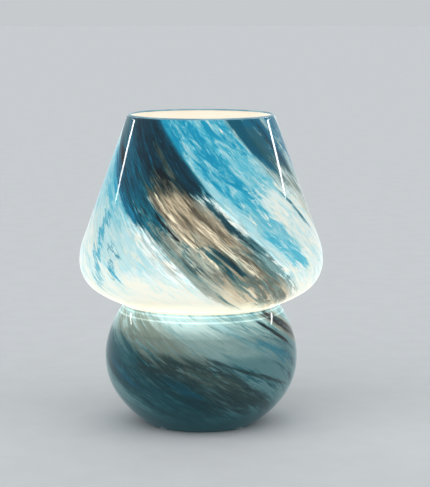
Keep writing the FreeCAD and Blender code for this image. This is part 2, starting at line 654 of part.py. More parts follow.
def make_holder_insert():
    """Heat-proof insert with its contact cup above and two terminal pockets below."""
    insert = turned("holder_insert", [
        ("0", "holder_split"), ("holder_bore_radius - 2 * slip_gap", "holder_split"),
        ("holder_bore_radius - 2 * slip_gap", "holder_top - holder_lip - touch_gap"),
        ("cup_radius", "holder_top - holder_lip - touch_gap"), ("cup_radius", "cup_level"),
        ("0", "cup_level")])
    pockets = new_sketch(insert, "terminal_pocket", "XY_Plane", "holder_split")
    half = "(terminal_width / 2 + touch_gap)"
    draw_outline(pockets, [("terminal_offset - " + half, "-" + half),
                           ("terminal_offset + " + half, "-" + half),
                           ("terminal_offset + " + half, half),
                           ("terminal_offset - " + half, half)])
    pocket = push(insert, pockets, "Pocket", "terminal_height + touch_gap", reverse=True)
    repeat_round(insert, [pocket], "2")
    for i, side in enumerate((1, -1), start=1):
        clamp = new_body("terminal_block_%d" % i)
        plan = new_sketch(clamp, clamp.Name + "_plan", "XY_Plane", "holder_split")
        low, high = "-terminal_width / 2", "terminal_width / 2"
        draw_outline(plan, [(low, low), (high, low), (high, high), (low, high)])
        push(clamp, plan, "Pad", "terminal_height")
        bore = new_sketch(clamp, clamp.Name + "_bore", "XY_Plane", "holder_split")
        draw_circle(bore, "0", "0", "terminal_screw_radius + touch_gap")
        push(clamp, bore, "Pocket", "terminal_bore", reverse=True)
        screw = turned("terminal_screw_%d" % i, [
            ("0", "holder_split - terminal_head"),
            ("terminal_head_radius - edge_bevel", "holder_split - terminal_head"),
            ("terminal_head_radius", "holder_split - terminal_head + edge_bevel"),
            ("terminal_head_radius", "holder_split"), ("terminal_screw_radius", "holder_split"),
            ("terminal_screw_radius", "holder_split + terminal_screw_length"),
            ("0", "holder_split + terminal_screw_length")])
        slot = new_sketch(screw, screw.Name + "_slot", "XZ_Plane")
        draw_outline(slot, [("-screw_slot / 2", "holder_split - terminal_head"),
                            ("screw_slot / 2", "holder_split - terminal_head"),
                            ("screw_slot / 2", "holder_split - terminal_head / 2"),
                            ("-screw_slot / 2", "holder_split - terminal_head / 2")])
        push(screw, slot, "Pocket", "3 * terminal_head_radius", "Symmetric")
        for body in (clamp, screw):
            body.Placement = Placement(Vector(side * number("terminal_offset"), 0, 0), Rotation())
    contact = new_body("centre_contact")
    side = new_sketch(contact, "contact_side")
    tip = "bulb_level - touch_gap"
    fixed_end = "contact_width / 2 - cup_radius"
    free_end = "0.4 * cup_radius"
    draw_outline(side, [
        (fixed_end, "cup_level"), ("-0.35 * cup_radius", "cup_level"),
        ("-0.1 * cup_radius", tip + " - contact_sheet"),
        ("0.1 * cup_radius", tip + " - contact_sheet"),
        (free_end, "cup_level + contact_return"),
        (free_end, "cup_level + contact_return + contact_sheet"),
        ("0.13 * cup_radius", tip), ("-0.13 * cup_radius", tip),
        ("-0.38 * cup_radius", "cup_level + contact_sheet"),
        (fixed_end, "cup_level + contact_sheet")])
    push(contact, side, "Pad", "contact_width", "Symmetric")


def threaded_core(radius, first_turn, turns):
    """A knuckle thread: a circle set off the axis, carried up a helix without turning."""
    pitch, throw = number("thread_pitch"), number("thread_throw")
    start = number("thread_level") + pitch * first_turn
    helix = Part.makeHelix(pitch, pitch * turns, throw)
    helix.translate(Vector(0, 0, start))
    section = Part.Wire([Part.makeCircle(radius, Vector(throw, 0, start), Vector(0, 0, 1))])
    pipe = Part.BRepOffsetAPI.MakePipeShell(Part.Wire(helix.Edges))
    pipe.setTrihedronMode(Vector(0, 0, 0), Vector(0, 0, 1))
    pipe.add(section)
    pipe.build()
    pipe.makeSolid()
    return pipe.shape()


def cylinder(radius, low, high):
    """A plain cylinder on the lamp's axis between two levels given as sums."""
    return Part.makeCylinder(number(radius), number(high) - number(low), Vector(0, 0, number(low)))


def new_feature(name, shape):
    item = doc.addObject("Part::Feature", name)
    item.Label = name
    item.Shape = shape
    item.Placement = Placement()
    NODES.append(item)


def make_threads():
    """The bulb's threaded cap and the holder's threaded shell, which run on one helix."""
    turns = number("thread_turns")
    thread_top = "thread_level + thread_pitch * thread_turns"
    cap = threaded_core(number("thread_radius"), 0, turns)
    cap = cap.fuse(cylinder("neck_radius", thread_top, "housing_level - touch_gap"))
    bore = "thread_radius - thread_throw - cap_wall"
    cap = cap.cut(cylinder(bore, "thread_level - cap_wall", thread_top))
    cap = cap.cut(cylinder("neck_radius - cap_wall", thread_top, "housing_level"))
    new_feature("bulb_cap", cap)
    mating = threaded_core(number("thread_radius + thread_gap"), -1, turns + 2)
    shell = cylinder("cup_radius - slip_gap", "thread_level - slip_gap", thread_top + " - cap_wall")
    new_feature("screw_shell", shell.cut(mating))


# --- Bulb -------------------------------------------------------------------------------------

def make_bulb_foot():
    """Contact tip and the dark insulator that holds it in the cap."""
    tip = "bulb_level + contact_height"
    turned("cap_contact", [
        ("0", "bulb_level"), ("contact_radius - contact_bevel", "bulb_level"),
        ("contact_radius", "bulb_level + contact_bevel"), ("contact_radius", tip), ("0", tip)])
    lip = "bulb_level + insulator_lip"
    plug_top = "thread_level + insulator_plug"
    bore = "thread_radius - thread_throw - cap_wall - slip_gap"
    turned("cap_insulator", [
        ("0", tip + " + touch_gap"), ("contact_radius + slip_gap", tip + " + touch_gap"),
        ("contact_radius + slip_gap", lip), ("contact_radius + insulator_lip", lip),
        ("thread_radius - thread_throw - edge_bevel", "thread_level - touch_gap"),
        (bore, "thread_level - touch_gap"), (bore, plug_top), ("0", plug_top)])


def make_bulb_housing():
    """Cone-shaped housing on the cap's neck, and the light board in its mouth."""
    spigot = "neck_radius - cap_wall - slip_gap"
    bore = spigot + " - housing_spigot_wall"
    ledge = "housing_radius - housing_wall - housing_ledge"
    turned("bulb_housing", [
        (bore, "housing_level - housing_spigot"), (spigot, "housing_level - housing_spigot"),
        (spigot, "housing_level"), ("housing_foot_radius", "housing_level"),
        ("housing_radius - 3 * edge_bevel", "rim_level - housing_band"),
        ("housing_radius", "rim_level - housing_band / 2"),
        ("housing_radius", "rim_level"), ("housing_radius - housing_wall", "rim_level"),
        ("housing_radius - housing_wall", "board_level"), (ledge, "board_level"),
        ("housing_foot_radius - housing_wall", "housing_level + housing_wall"),
        (bore, "housing_level + housing_wall")])
    turned("led_board", [
        ("0", "board_level"), ("housing_radius - housing_wall - slip_gap", "board_level"),
        ("housing_radius - housing_wall - slip_gap", "board_level + board_sheet"),
        ("0", "board_level + board_sheet")])
    chips = new_body("led_chips")
    plan = new_sketch(chips, "chip_plan", "XY_Plane", "board_level + board_sheet")
    half = "chip_width / 2"
    near, far = "chip_circle - " + half, "chip_circle + " + half
    draw_outline(plan, [(near, "-" + half), (far, "-" + half), (far, half), (near, half)])
    chip = push(chips, plan, "Pad", "chip_height")
    repeat_round(chips, [chip], "chip_count")
    half_width = "(neck_radius - cap_wall - 2 * slip_gap - housing_spigot_wall)"
    top = "board_level - touch_gap"
    block("driver_board", ("-" + half_width, half_width),
          ("-driver_sheet / 2", "driver_sheet / 2"), (top + " - driver_length", top))
    end = top + " - edge_bevel"
    capacitor = turned("driver_capacitor", [
        ("0", end + " - capacitor_length"), ("capacitor_radius", end + " - capacitor_length"),
        ("capacitor_radius", end + " - edge_bevel"), ("capacitor_radius - edge_bevel", end),
        ("0", end)])
    beside = number("driver_sheet / 2 + capacitor_radius + touch_gap")
    capacitor.Placement = Placement(Vector(0, -beside, 0), Rotation())


def make_bulb_globe():
    """Opal globe, cut flat where it seats on the housing's rim."""
    balls = []
    for name, radius in (("globe_outside", "globe_radius"),
                         ("globe_inside", "globe_radius - globe_wall")):
        ball = doc.addObject("Part::Sphere", name)
        bind(ball, Radius=radius)
        balls.append(ball)
    balls[0].setExpression("Angle1", formula("-acos(globe_seat_radius / globe_radius)"))
    globe = doc.addObject("Part::Cut", "bulb_globe")
    globe.Label = "bulb_globe"
    globe.Base, globe.Tool = balls
    globe.setExpression(".Placement.Base.z", formula("globe_level"))
    NODES.append(globe)


def make_lamp():
    make_glass()
    make_feet()
    make_grommet()
    make_bracket()
    for index, azimuth in enumerate(arm_azimuths(), start=1):
        make_arm_pieces(index, azimuth)
    make_holder_case()
    make_holder_insert()
    make_threads()
    make_bulb_foot()
    make_bulb_housing()
    make_bulb_globe()
    sheet.clear(SCRATCH_CELL)
    doc.recompute()


def check_lamp():
    """Stop if a feature failed, or a piece is empty, broken or the wrong number of solids."""
    failed = [item.Name for item in doc.Objects if {"Invalid", "Error"} & set(item.State)]
    solids = {"led_chips": int(number("chip_count"))}
    for node in NODES:
        shape = node.Shape
        if shape.isNull() or not shape.isValid() or len(shape.Solids) != solids.get(node.Label, 1):
            failed.append(node.Label)
    sheet.clear(SCRATCH_CELL)
    if failed:
        sys.exit("failed: " + ", ".join(failed))


def write_steps():
    os.makedirs("parts", exist_ok=True)
    for node in NODES:
        node.Shape.exportStep("parts/%s.step" % node.Label)
        box = node.Shape.BoundBox
        print("%-20s %10.1f mm3  z %.2f to %.2f" % (node.Label, node.Shape.Volume, box.ZMin, box.ZMax))


make_lamp()
check_lamp()
write_steps()
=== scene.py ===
"""Mushroom table lamp in pulled, swirled glass, with its bulb lit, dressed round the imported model.

Metres, +Z up on the lamp's axis, -Y to the front. The glass is turned again here from the sizes
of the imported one, so that it can carry the run of its colours. Every other piece is the packed
one with a finish of its own.
"""
import math

import bpy
import numpy as np
from bpy.props import FloatProperty, FloatVectorProperty, IntProperty, PointerProperty
from mathutils import Matrix, Vector


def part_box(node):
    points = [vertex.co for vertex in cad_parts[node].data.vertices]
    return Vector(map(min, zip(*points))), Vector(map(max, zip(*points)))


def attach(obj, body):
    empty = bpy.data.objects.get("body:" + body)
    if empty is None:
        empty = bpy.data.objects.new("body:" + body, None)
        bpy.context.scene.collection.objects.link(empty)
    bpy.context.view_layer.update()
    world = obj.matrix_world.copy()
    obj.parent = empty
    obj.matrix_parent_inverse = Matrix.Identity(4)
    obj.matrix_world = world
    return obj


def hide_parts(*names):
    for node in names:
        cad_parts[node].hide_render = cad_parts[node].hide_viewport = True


bl_info = {
    "name": "Mushroom Table Lamp",
    "version": (1, 0, 0),
    "blender": (4, 5, 0),
    "location": "3D View > Sidebar > Lamp",
    "description": "Swirled glass table lamp with a lit bulb on a sprung bracket",
    "category": "Object",
}

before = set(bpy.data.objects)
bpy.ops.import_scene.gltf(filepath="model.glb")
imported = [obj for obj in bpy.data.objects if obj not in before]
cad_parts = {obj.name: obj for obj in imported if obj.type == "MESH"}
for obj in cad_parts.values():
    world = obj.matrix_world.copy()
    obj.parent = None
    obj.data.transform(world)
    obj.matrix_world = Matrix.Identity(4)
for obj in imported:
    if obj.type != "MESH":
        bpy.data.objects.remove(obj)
MILLIMETRE = 0.001
# How steeply the cord's hole runs down to the outside.
CORD_DROP = math.radians(30)
# Twist of the glass: degrees at the rim, and degrees per metre down its side, above and below
# the waist's crease.
RIM_TWIST, SHADE_TWIST, BASE_TWIST = -62.0, 620.0, 1150.0
# Where the ripple of the hand-worked wall is fullest: level and spread, in metres.
RIPPLES = ((0.165, 0.04), (0.06, 0.014))
# Material slots of the glass. The shade's sectors take the last ones.
BASE_SLOT, LINING_SLOT, LIP_SLOT, SHADE_SLOT = range(4)


# --- What a user may change ---------------------------------------------------------------------

def length(name, description, default):
    return FloatProperty(name=name, description=description, default=default, min=0.0,
                         unit="LENGTH", precision=4)


def arc(name, description, degrees):
    return FloatProperty(name=name, description=description, default=math.radians(degrees),
                         unit="ROTATION")


def share(name, description, default):
    return FloatProperty(name=name, description=description, default=default, min=0.0, max=1.0,
                         subtype="FACTOR")


def tint(name, description, red, green, blue):
    """A colour by its red, green and blue as they show on a screen, from 0 to 255."""
    return FloatVectorProperty(name=name, description=description, subtype="COLOR_GAMMA",
                               size=3, min=0.0, max=1.0,
                               default=(red / 255, green / 255, blue / 255))


class LampGlassSizes(bpy.types.PropertyGroup):
    rim_radius: length("Rim Radius", "Outside of the open rim", 0.0584)
    shade_radius: length("Shade Radius", "Widest ring of the shade", 0.0979)
    shade_height: length("Shade Height", "Level of the shade's widest ring", 0.1329)
    shoulder_upper: length("Shoulder Above", "Curve above the widest ring", 0.0488)
    shoulder_lower: length("Shoulder Below", "Curve below the widest ring", 0.028)
    shoulder_lower_arc: arc("Shoulder Below Arc", "How far that curve turns", 55.8)
    underside: length("Underside", "Curve of the shade's underside", 0.0842)
    waist: length("Waist", "Level of the waist's crease", 0.09696)
    waist_fillet: length("Waist Fillet", "Curve in the waist's crease", 0.0025)
    base_radius: length("Base Radius", "Widest ring of the base", 0.0777)
    base_height: length("Base Height", "Level of the base's widest ring", 0.0545)
    base_upper: length("Base Above", "Curve above the base's widest ring", 0.0577)
    base_upper_arc: arc("Base Above Arc", "How far that curve turns", 13.5)
    base_crown: length("Base Crown", "Curve of the base up to the waist", 0.0782)
    base_lower: length("Base Below", "Curve below the base's widest ring", 0.0549)
    base_lower_arc: arc("Base Below Arc", "How far that curve turns", 37.0)
    base_bottom: length("Base Bottom", "Curve of the base down to the foot", 0.0834)
    wall: length("Wall", "Thickness of the glass", 0.0032)
    rim_wall: length("Rim Wall", "Thickness of the glass at the rim", 0.0024)
    foot_width: length("Foot Width", "Ring that is ground flat", 0.009)
    punty_rise: length("Punty Rise", "Hollow under the base", 0.003)
    floor_wall: length("Floor", "Thickness of the glass in the foot", 0.006)
    cord_hole: length("Cord Hole", "Radius of the hole at the back", 0.005)
    ripple: length("Ripple", "How far the hand-worked wall strays from round", 0.00022)
    rings: length("Ring Spacing", "Distance between rings of the mesh", 0.0016)
    segments: IntProperty(name="Segments", description="Faces round the glass", default=192,
                          min=24)


class LampGlassColours(bpy.types.PropertyGroup):
    cream: tint("Cream", "Warm glow low in the shade", 255, 248, 228)
    ice: tint("Ice", "Cool white between the colours", 224, 243, 240)
    pale_sky: tint("Pale Sky", "Thin wash of blue", 168, 222, 230)
    sky: tint("Sky", "Middle blue", 66, 178, 206)
    blue: tint("Blue", "Strong blue", 6, 142, 182)
    deep_blue: tint("Deep Blue", "Blue at the edge of a dark band", 0, 96, 130)
    teal: tint("Teal", "Blue-green of the dark band", 0, 82, 104)
    navy: tint("Navy", "Darkest blue", 0, 48, 62)
    soot: tint("Soot", "Nearly black specks", 6, 16, 20)
    umber: tint("Umber", "Brown in the dark band", 92, 86, 72)
    tan: tint("Tan", "Light brown", 188, 172, 142)
    sand: tint("Sand", "Pale brown where the glow comes through", 234, 222, 192)
    slate: tint("Slate", "Grey-green streaks", 74, 112, 114)
    stone: tint("Stone", "Grey-beige", 164, 168, 152)
    mist: tint("Mist", "Grey-green of the base", 84, 124, 128)
    haze: tint("Haze", "Lighter top of the base", 142, 168, 164)
    kelp: tint("Kelp", "Darker green of the base", 24, 74, 84)
    ash: tint("Ash", "Charcoal marbling of the base", 24, 44, 46)
    clay: tint("Clay", "Brown marbling of the base", 118, 120, 104)
    pool: tint("Pool", "Bottom of the base", 8, 54, 62)
    glow: tint("Glow", "Light through the shade's underside", 255, 243, 212)
    lining: tint("Lining", "Opal glass inside the shade", 255, 247, 232)
    lip: tint("Lip", "Clear glass at the fire-polished rim", 92, 134, 150)


class LampFinish(bpy.types.PropertyGroup):
    glow: share("Glow", "Share of the glass's colour that its own light gives", 0.5)
    low_glow: share("Low Glow", "The same low in the shade, beside the bulb", 0.72)
    under_glow: FloatProperty(name="Under Glow", default=1.12, min=1.0,
                              description="How many times brighter the shade's underside is")
    waist_glow: FloatProperty(name="Waist Glow", default=2.0, min=1.0,
                              description="How many times brighter the base is at the waist")
    body: share("Body", "Share of the glass's colour that the room's light gives", 0.42)
    gloss: share("Gloss", "Roughness of the polished glass", 0.03)


class LampStage(bpy.types.PropertyGroup):
    distance: length("Camera Distance", "From the camera to the lamp's axis, over the floor", 1.5)
    height: length("Camera Height", "Camera above the floor", 0.3537)
    dip: FloatProperty(name="Dip", description="How far the camera looks down", default=0.138,
                       unit="ROTATION")
    turn: FloatProperty(name="Turn", description="How far the camera looks past the lamp",
                        default=-0.00744, unit="ROTATION")
    lens: FloatProperty(name="Lens", description="Focal length", default=139.07, min=1.0,
                        unit="CAMERA")
    backdrop: tint("Backdrop", "Plain pale surroundings", 198, 202, 205)


# --- Laying shader nodes --------------------------------------------------------------------------

def opaque(colour):
    return list(colour) + [1.0]


def as_light(gamma):
    """A screen colour as the light it stands for."""
    return opaque(v / 12.92 if v <= 0.04045 else ((v + 0.055) / 1.055) ** 2.4 for v in gamma)


class Wiring:
    """Lays nodes in a tree in the order of making, and joins what is handed to them."""

    def __init__(self, tree):
        self.tree = tree
        self.laid = 0

    def node(self, kind, **settings):
        made = self.tree.nodes.new(kind)
        made.location = (220 * (self.laid // 8), -180 * (self.laid % 8))
        self.laid += 1
        for name, value in settings.items():
            setattr(made, name, value)
        return made

    def feed(self, socket, value):
        if isinstance(value, bpy.types.NodeSocket):
            self.tree.links.new(value, socket)
        elif value is not None:
            socket.default_value = value

    def sum(self, operation, *values):
        made = self.node("ShaderNodeMath", operation=operation)
        for socket, value in zip(made.inputs, values):
            self.feed(socket, value)
        return made.outputs[0]

    def stretch(self, vector, by):
        made = self.node("ShaderNodeVectorMath", operation="MULTIPLY")
        self.feed(made.inputs[0], vector)
        self.feed(made.inputs[1], by)
        return made.outputs[0]

    def parts(self, vector):
        made = self.node("ShaderNodeSeparateXYZ")
        self.feed(made.inputs[0], vector)
        return made.outputs

    def noise(self, vector, scale, detail=3.0, roughness=0.55, distortion=0.0):
        made = self.node("ShaderNodeTexNoise", noise_dimensions="3D")
        self.feed(made.inputs["Vector"], vector)
        for name, value in (("Scale", scale), ("Detail", detail), ("Roughness", roughness),
                            ("Distortion", distortion)):
            self.feed(made.inputs[name], value)
        return made.outputs

    def ease(self, value, start, end, low=0.0, high=1.0):
        """Low before the start and high after the end, and smooth between."""
        made = self.node("ShaderNodeMapRange", interpolation_type="SMOOTHSTEP")
        for socket, given in zip(made.inputs, (value, start, end, low, high)):
            self.feed(socket, given)
        return made.outputs[0]

    def mix(self, amount, under, over, blend="MIX"):
        made = self.node("ShaderNodeMix", data_type="RGBA", blend_type=blend)
        self.feed(made.inputs["Factor"], amount)
        self.feed(made.inputs[6], under)
        self.feed(made.inputs[7], over)
        return made.outputs[2]

    def bump(self, height, distance, strength=1.0):
        made = self.node("ShaderNodeBump")
        self.feed(made.inputs["Strength"], strength)
        self.feed(made.inputs["Distance"], distance)
        self.feed(made.inputs["Height"], height)
        return made.outputs[0]

    def place(self):
        return self.node("ShaderNodeTexCoord").outputs["Object"]


def new_finish(name, **constants):
    """A material with one Principled shader, whose constants are set on its own sockets."""
    material = bpy.data.materials.new(name)
    material.use_nodes = True
    material.node_tree.nodes.clear()
    wiring = Wiring(material.node_tree)
    shader = wiring.node("ShaderNodeBsdfPrincipled")
    end = wiring.node("ShaderNodeOutputMaterial")
    material.node_tree.links.new(shader.outputs[0], end.inputs[0])
    for word, value in constants.items():
        shader.inputs[word.replace("_", " ").title().replace("Ior", "IOR")].default_value = value
    return material, wiring, shader


# --- Pulled glass ---------------------------------------------------------------------------------

# Each ribbon: colour, azimuth in the glass before it was twisted, half width (degrees), top and
# bottom (mm above the table), feather (degrees), fade (mm), raggedness, cover, streak and lean
# (degrees per mm). Streaks 0 to 2 are drawn out, and 3 to 5, on the shade alone, are cloudier.
SHADE_RIBBONS = [
    # far side
    ("sky", -72, 14, 262, 178, 7, 14, 1.1, 0.75, 0, 0),
    ("blue", -98, 11, 262, 168, 6, 14, 1.2, 0.9, 1, 0),
    ("slate", -145, 27, 262, 150, 6, 16, 0.6, 0.9, 2, 0),
    ("teal", -142, 24, 262, 190, 6, 16, 0.7, 0.97, 2, 0),
    ("navy", -150, 9, 262, 204, 5, 14, 1.0, 0.9, 0, 0),
    ("umber", -138, 13, 210, 134, 5, 14, 1.0, 0.85, 1, 0),
    ("tan", -139, 8, 194, 126, 4, 12, 1.3, 0.85, 2, 0),
    ("blue", 162, 12, 262, 172, 6, 14, 1.3, 0.85, 2, 0),
    ("sky", 182, 10, 262, 190, 6, 14, 1.3, 0.7, 1, 0),
    # right of the dark band
    ("sky", 47, 25, 264, 192, 7, 18, 1.2, 0.72, 3, 0),
    ("blue", 46, 11, 264, 184, 6, 14, 1.5, 0.92, 4, 0),
    ("sky", 42, 10, 200, 150, 7, 12, 1.7, 0.75, 5, 0),
    ("blue", 33, 4, 264, 222, 4, 12, 0.8, 0.9, 2, 0),
    ("pale_sky", 33, 4, 204, 150, 3, 14, 1.0, 0.7, 1, 0),
    ("sky", 41, 5.5, 164, 136, 4, 8, 1.6, 0.9, 4, 0),
    ("sky", 67, 12, 262, 194, 8, 18, 1.5, 0.75, 5, 0),
    ("blue", 68, 9, 264, 224, 6, 12, 1.4, 0.85, 3, 0),
    ("slate", 98, 19, 262, 192, 8, 16, 0.9, 0.85, 1, 0),
    ("deep_blue", 98, 17, 264, 214, 7, 14, 1.1, 0.85, 0, 0),
    ("teal", 86, 4, 258, 222, 4, 10, 1.4, 0.8, 2, 0),
    ("umber", 92, 5, 240, 206, 4, 10, 1.6, 0.35, 0, 0),
    ("navy", 104, 4, 250, 206, 4, 12, 1.4, 0.6, 2, 0),
    ("teal", 98, 4, 206, 182, 3, 8, 1.3, 0.8, 0, 0),
    ("deep_blue", 130, 12, 264, 196, 6, 14, 0.9, 0.9, 0, 0),
    ("stone", 100, 14, 204, 160, 6, 14, 0.8, 0.6, 1, 0),
    ("teal", 75, 1.2, 198, 163, 1.4, 8, 1.7, 0.75, 2, 0),
    # left of the dark band
    ("sky", -48, 18, 244, 184, 10, 20, 1.0, 0.7, 4, 0),
    ("sky", -37, 8, 204, 166, 6, 12, 1.5, 0.7, 3, 0),
    ("pale_sky", -48, 17, 188, 134, 9, 14, 1.4, 0.6, 5, 0),
    # the dark band
    ("blue", -29, 4.5, 230, 192, 3.5, 12, 0.7, 0.7, 4, 0),
    ("deep_blue", -24.5, 4, 226, 172, 3, 9, 0.6, 0.9, 5, 0),
    ("stone", 1, 21, 200, 106, 4, 8, 0.5, 0.95, 1, 0),
    ("teal", 3, 28, 268, 190, 4, 14, 0.3, 1.0, 0, 0),
    ("slate", -14, 7, 266, 232, 5, 10, 0.9, 0.6, 2, 0),
    ("navy", 14, 14, 256, 190, 6, 12, 0.9, 0.92, 1, 0),
    ("teal", -15, 8, 206, 162, 4, 10, 0.9, 0.9, 1, 0),
    ("umber", 6, 13, 205, 150, 5, 14, 1.1, 0.85, 0, 0),
    ("tan", 7, 12, 192, 114, 4, 12, 1.4, 0.85, 1, 0),
    ("slate", 0, 21, 152, 112, 4, 10, 2.4, 0.6, 1, 0),
    ("umber", 5, 16, 142, 112, 4, 8, 2.4, 0.55, 0, 0),
    ("umber", 14, 2, 190, 138, 2, 10, 1.6, 0.8, 2, 0),
    ("umber", 5, 1.4, 186, 140, 1.4, 10, 1.6, 0.8, 0, 0),
    ("slate", -16, 6, 170, 118, 3, 10, 1.6, 0.6, 2, 0),
    ("stone", -11, 5, 166, 118, 3, 10, 1.8, 0.75, 0, 0),
    ("sand", -1.5, 1.1, 196, 158, 1.2, 8, 1.4, 0.85, 0, 0),
    ("sand", -5.5, 1.4, 172, 142, 1.3, 6, 1.3, 0.85, 1, 0),
    ("sand", 10, 3, 172, 130, 2.5, 8, 1.7, 0.7, 2, 0),
    ("soot", -10, 1.1, 179, 153, 1.0, 5, 1.0, 0.85, 1, 0),
    ("soot", 10, 4, 214, 194, 3, 8, 1.6, 0.6, 1, 0),
    ("soot", -17, 3, 228, 216, 2.5, 5, 1.0, 0.85, 2, 0),
    ("umber", 16, 1.6, 232, 204, 1.6, 8, 1.2, 0.6, 0, 0),
    ("navy", 24, 2.8, 206, 148, 2.5, 8, 1.7, 0.85, 0, 0),
    ("slate", 22, 5, 160, 112, 3, 8, 2.2, 0.75, 2, 0),
    ("navy", 3.5, 1.2, 152, 126, 1.4, 6, 1.9, 0.8, 1, 0),
    ("kelp", -2, 2.0, 150, 122, 1.6, 6, 1.9, 0.8, 0, 0),
    ("slate", 2, 1.3, 162, 134, 1.2, 5, 0.9, 0.75, 0, 0.85),
    # strays
    ("blue", -45, 3.2, 172, 122, 3.0, 6, 1.9, 0.65, 5, 0.7),
    ("deep_blue", -47, 1.1, 152, 126, 1.1, 4, 1.4, 0.6, 0, 0.7),
    ("blue", -60, 1.6, 134, 126, 1.4, 2.5, 1.2, 0.8, 5, 0),
]
# Over the warm light low in the shade.
GLOW_RIBBONS = [
    ("sand", 1, 19, 122, 88, 5, 7, 0.5, 0.8, 1, 0),
    ("tan", 4, 15, 128, 102, 4, 7, 2.6, 0.55, 0, 0),
    ("slate", 6, 11, 130, 104, 4, 6, 2.8, 0.6, 1, 0),
    ("umber", 9, 8, 128, 108, 3, 5, 2.6, 0.5, 2, 0),
    ("stone", -20, 2.2, 150, 104, 2, 9, 1.8, 0.6, 0, 0),
    ("slate", -17, 0.8, 122, 98, 0.8, 4, 0.8, 0.8, 2, 0),
    ("stone", 8, 1.2, 124, 100, 1.2, 5, 1.0, 0.5, 0, 0),
]
BASE_RIBBONS = [
    # far side
    ("kelp", 120, 22, 92, 30, 9, 10, 1.0, 0.8, 0, 0),
    ("clay", 150, 12, 90, 54, 7, 8, 1.2, 0.6, 1, 0),
    ("ash", 92, 14, 74, 34, 9, 9, 1.2, 0.75, 2, 0),
    ("haze", 62, 12, 96, 60, 7, 8, 1.0, 0.6, 0, 0),
    # seen from the front
    ("clay", -110, 24, 96, 58, 10, 11, 1.5, 0.6, 1, 0),
    ("kelp", -152, 26, 78, 18, 10, 10, 1.0, 0.8, 0, 0),
    ("ash", -112, 29, 67, 20, 12, 11, 1.1, 0.8, 2, 0),
    ("pool", -130, 12, 52, 24, 8, 9, 1.3, 0.7, 1, 0),
    ("clay", -100, 8, 60, 40, 6, 7, 1.8, 0.25, 1, 0),
    ("pool", -152, 22, 58, 12, 10, 10, 1.2, 0.6, 1, 0),
    ("deep_blue", -161, 5, 60, 42, 5, 6, 1.4, 0.4, 1, 0),
    ("deep_blue", -127, 5, 50, 34, 5, 6, 1.4, 0.3, 0, 0),
    ("ash", -86, 3, 64, 36, 3, 6, 1.2, 0.7, 2, -1.1),
    ("deep_blue", -45, 3, 98, 66, 2.5, 7, 1.0, 0.6, 0, 0),
    ("deep_blue", -36, 6, 76, 56, 5, 6, 1.5, 0.4, 1, 0),
    ("haze", -80, 1.0, 95, 78, 1.0, 5, 0.6, 0.7, 2, 0),
    ("pale_sky", -70, 9, 99, 84, 6, 5, 1.5, 0.5, 1, 0),
    ("haze", -64, 27, 99, 62, 10, 12, 1.0, 0.7, 0, 0),
    # painted reflection: a pale wash high on the base, for the shade mirrored there
    ("ice", -66, 26, 101, 82, 14, 7, 0.7, 0.28, 0, 0),
    ("soot", -17.5, 2, 94, 72, 1.6, 5, 0.8, 0.9, 2, 0),
    ("clay", 1, 10, 98, 70, 4, 6, 0.8, 0.85, 0, 0),
    ("soot", 1, 5, 97, 74, 3, 6, 1.5, 0.85, 1, 0),
]


# The shade's glass is one pattern in three materials, each with the ribbons that reach its sector,
# because a material with all of them is more than the renderer takes. A sector is given by the
# azimuths, in the glass before it was twisted, where it starts and ends.
SECTORS = (("left", -75, 20), ("right", 20, 120), ("far", 120, 285))
# How far, in degrees, the ribbons sway.
SWAY = 14.0
# Painted reflections of the shade's underside: bright rings under the waist, by level (mm above the
# table) and strength.
RING_REFLECTIONS = ((96.0, 0.35), (92.0, 0.45))
# A ribbon's inputs that come straight from its row, in the row's order.
RIBBON_NUMBERS = ("Azimuth", "Half Width", "Top", "Bottom", "Feather", "Fade", "Ragged", "Cover")


def direction(start, end):
    return math.atan2(end.y - start.y, end.x - start.x)


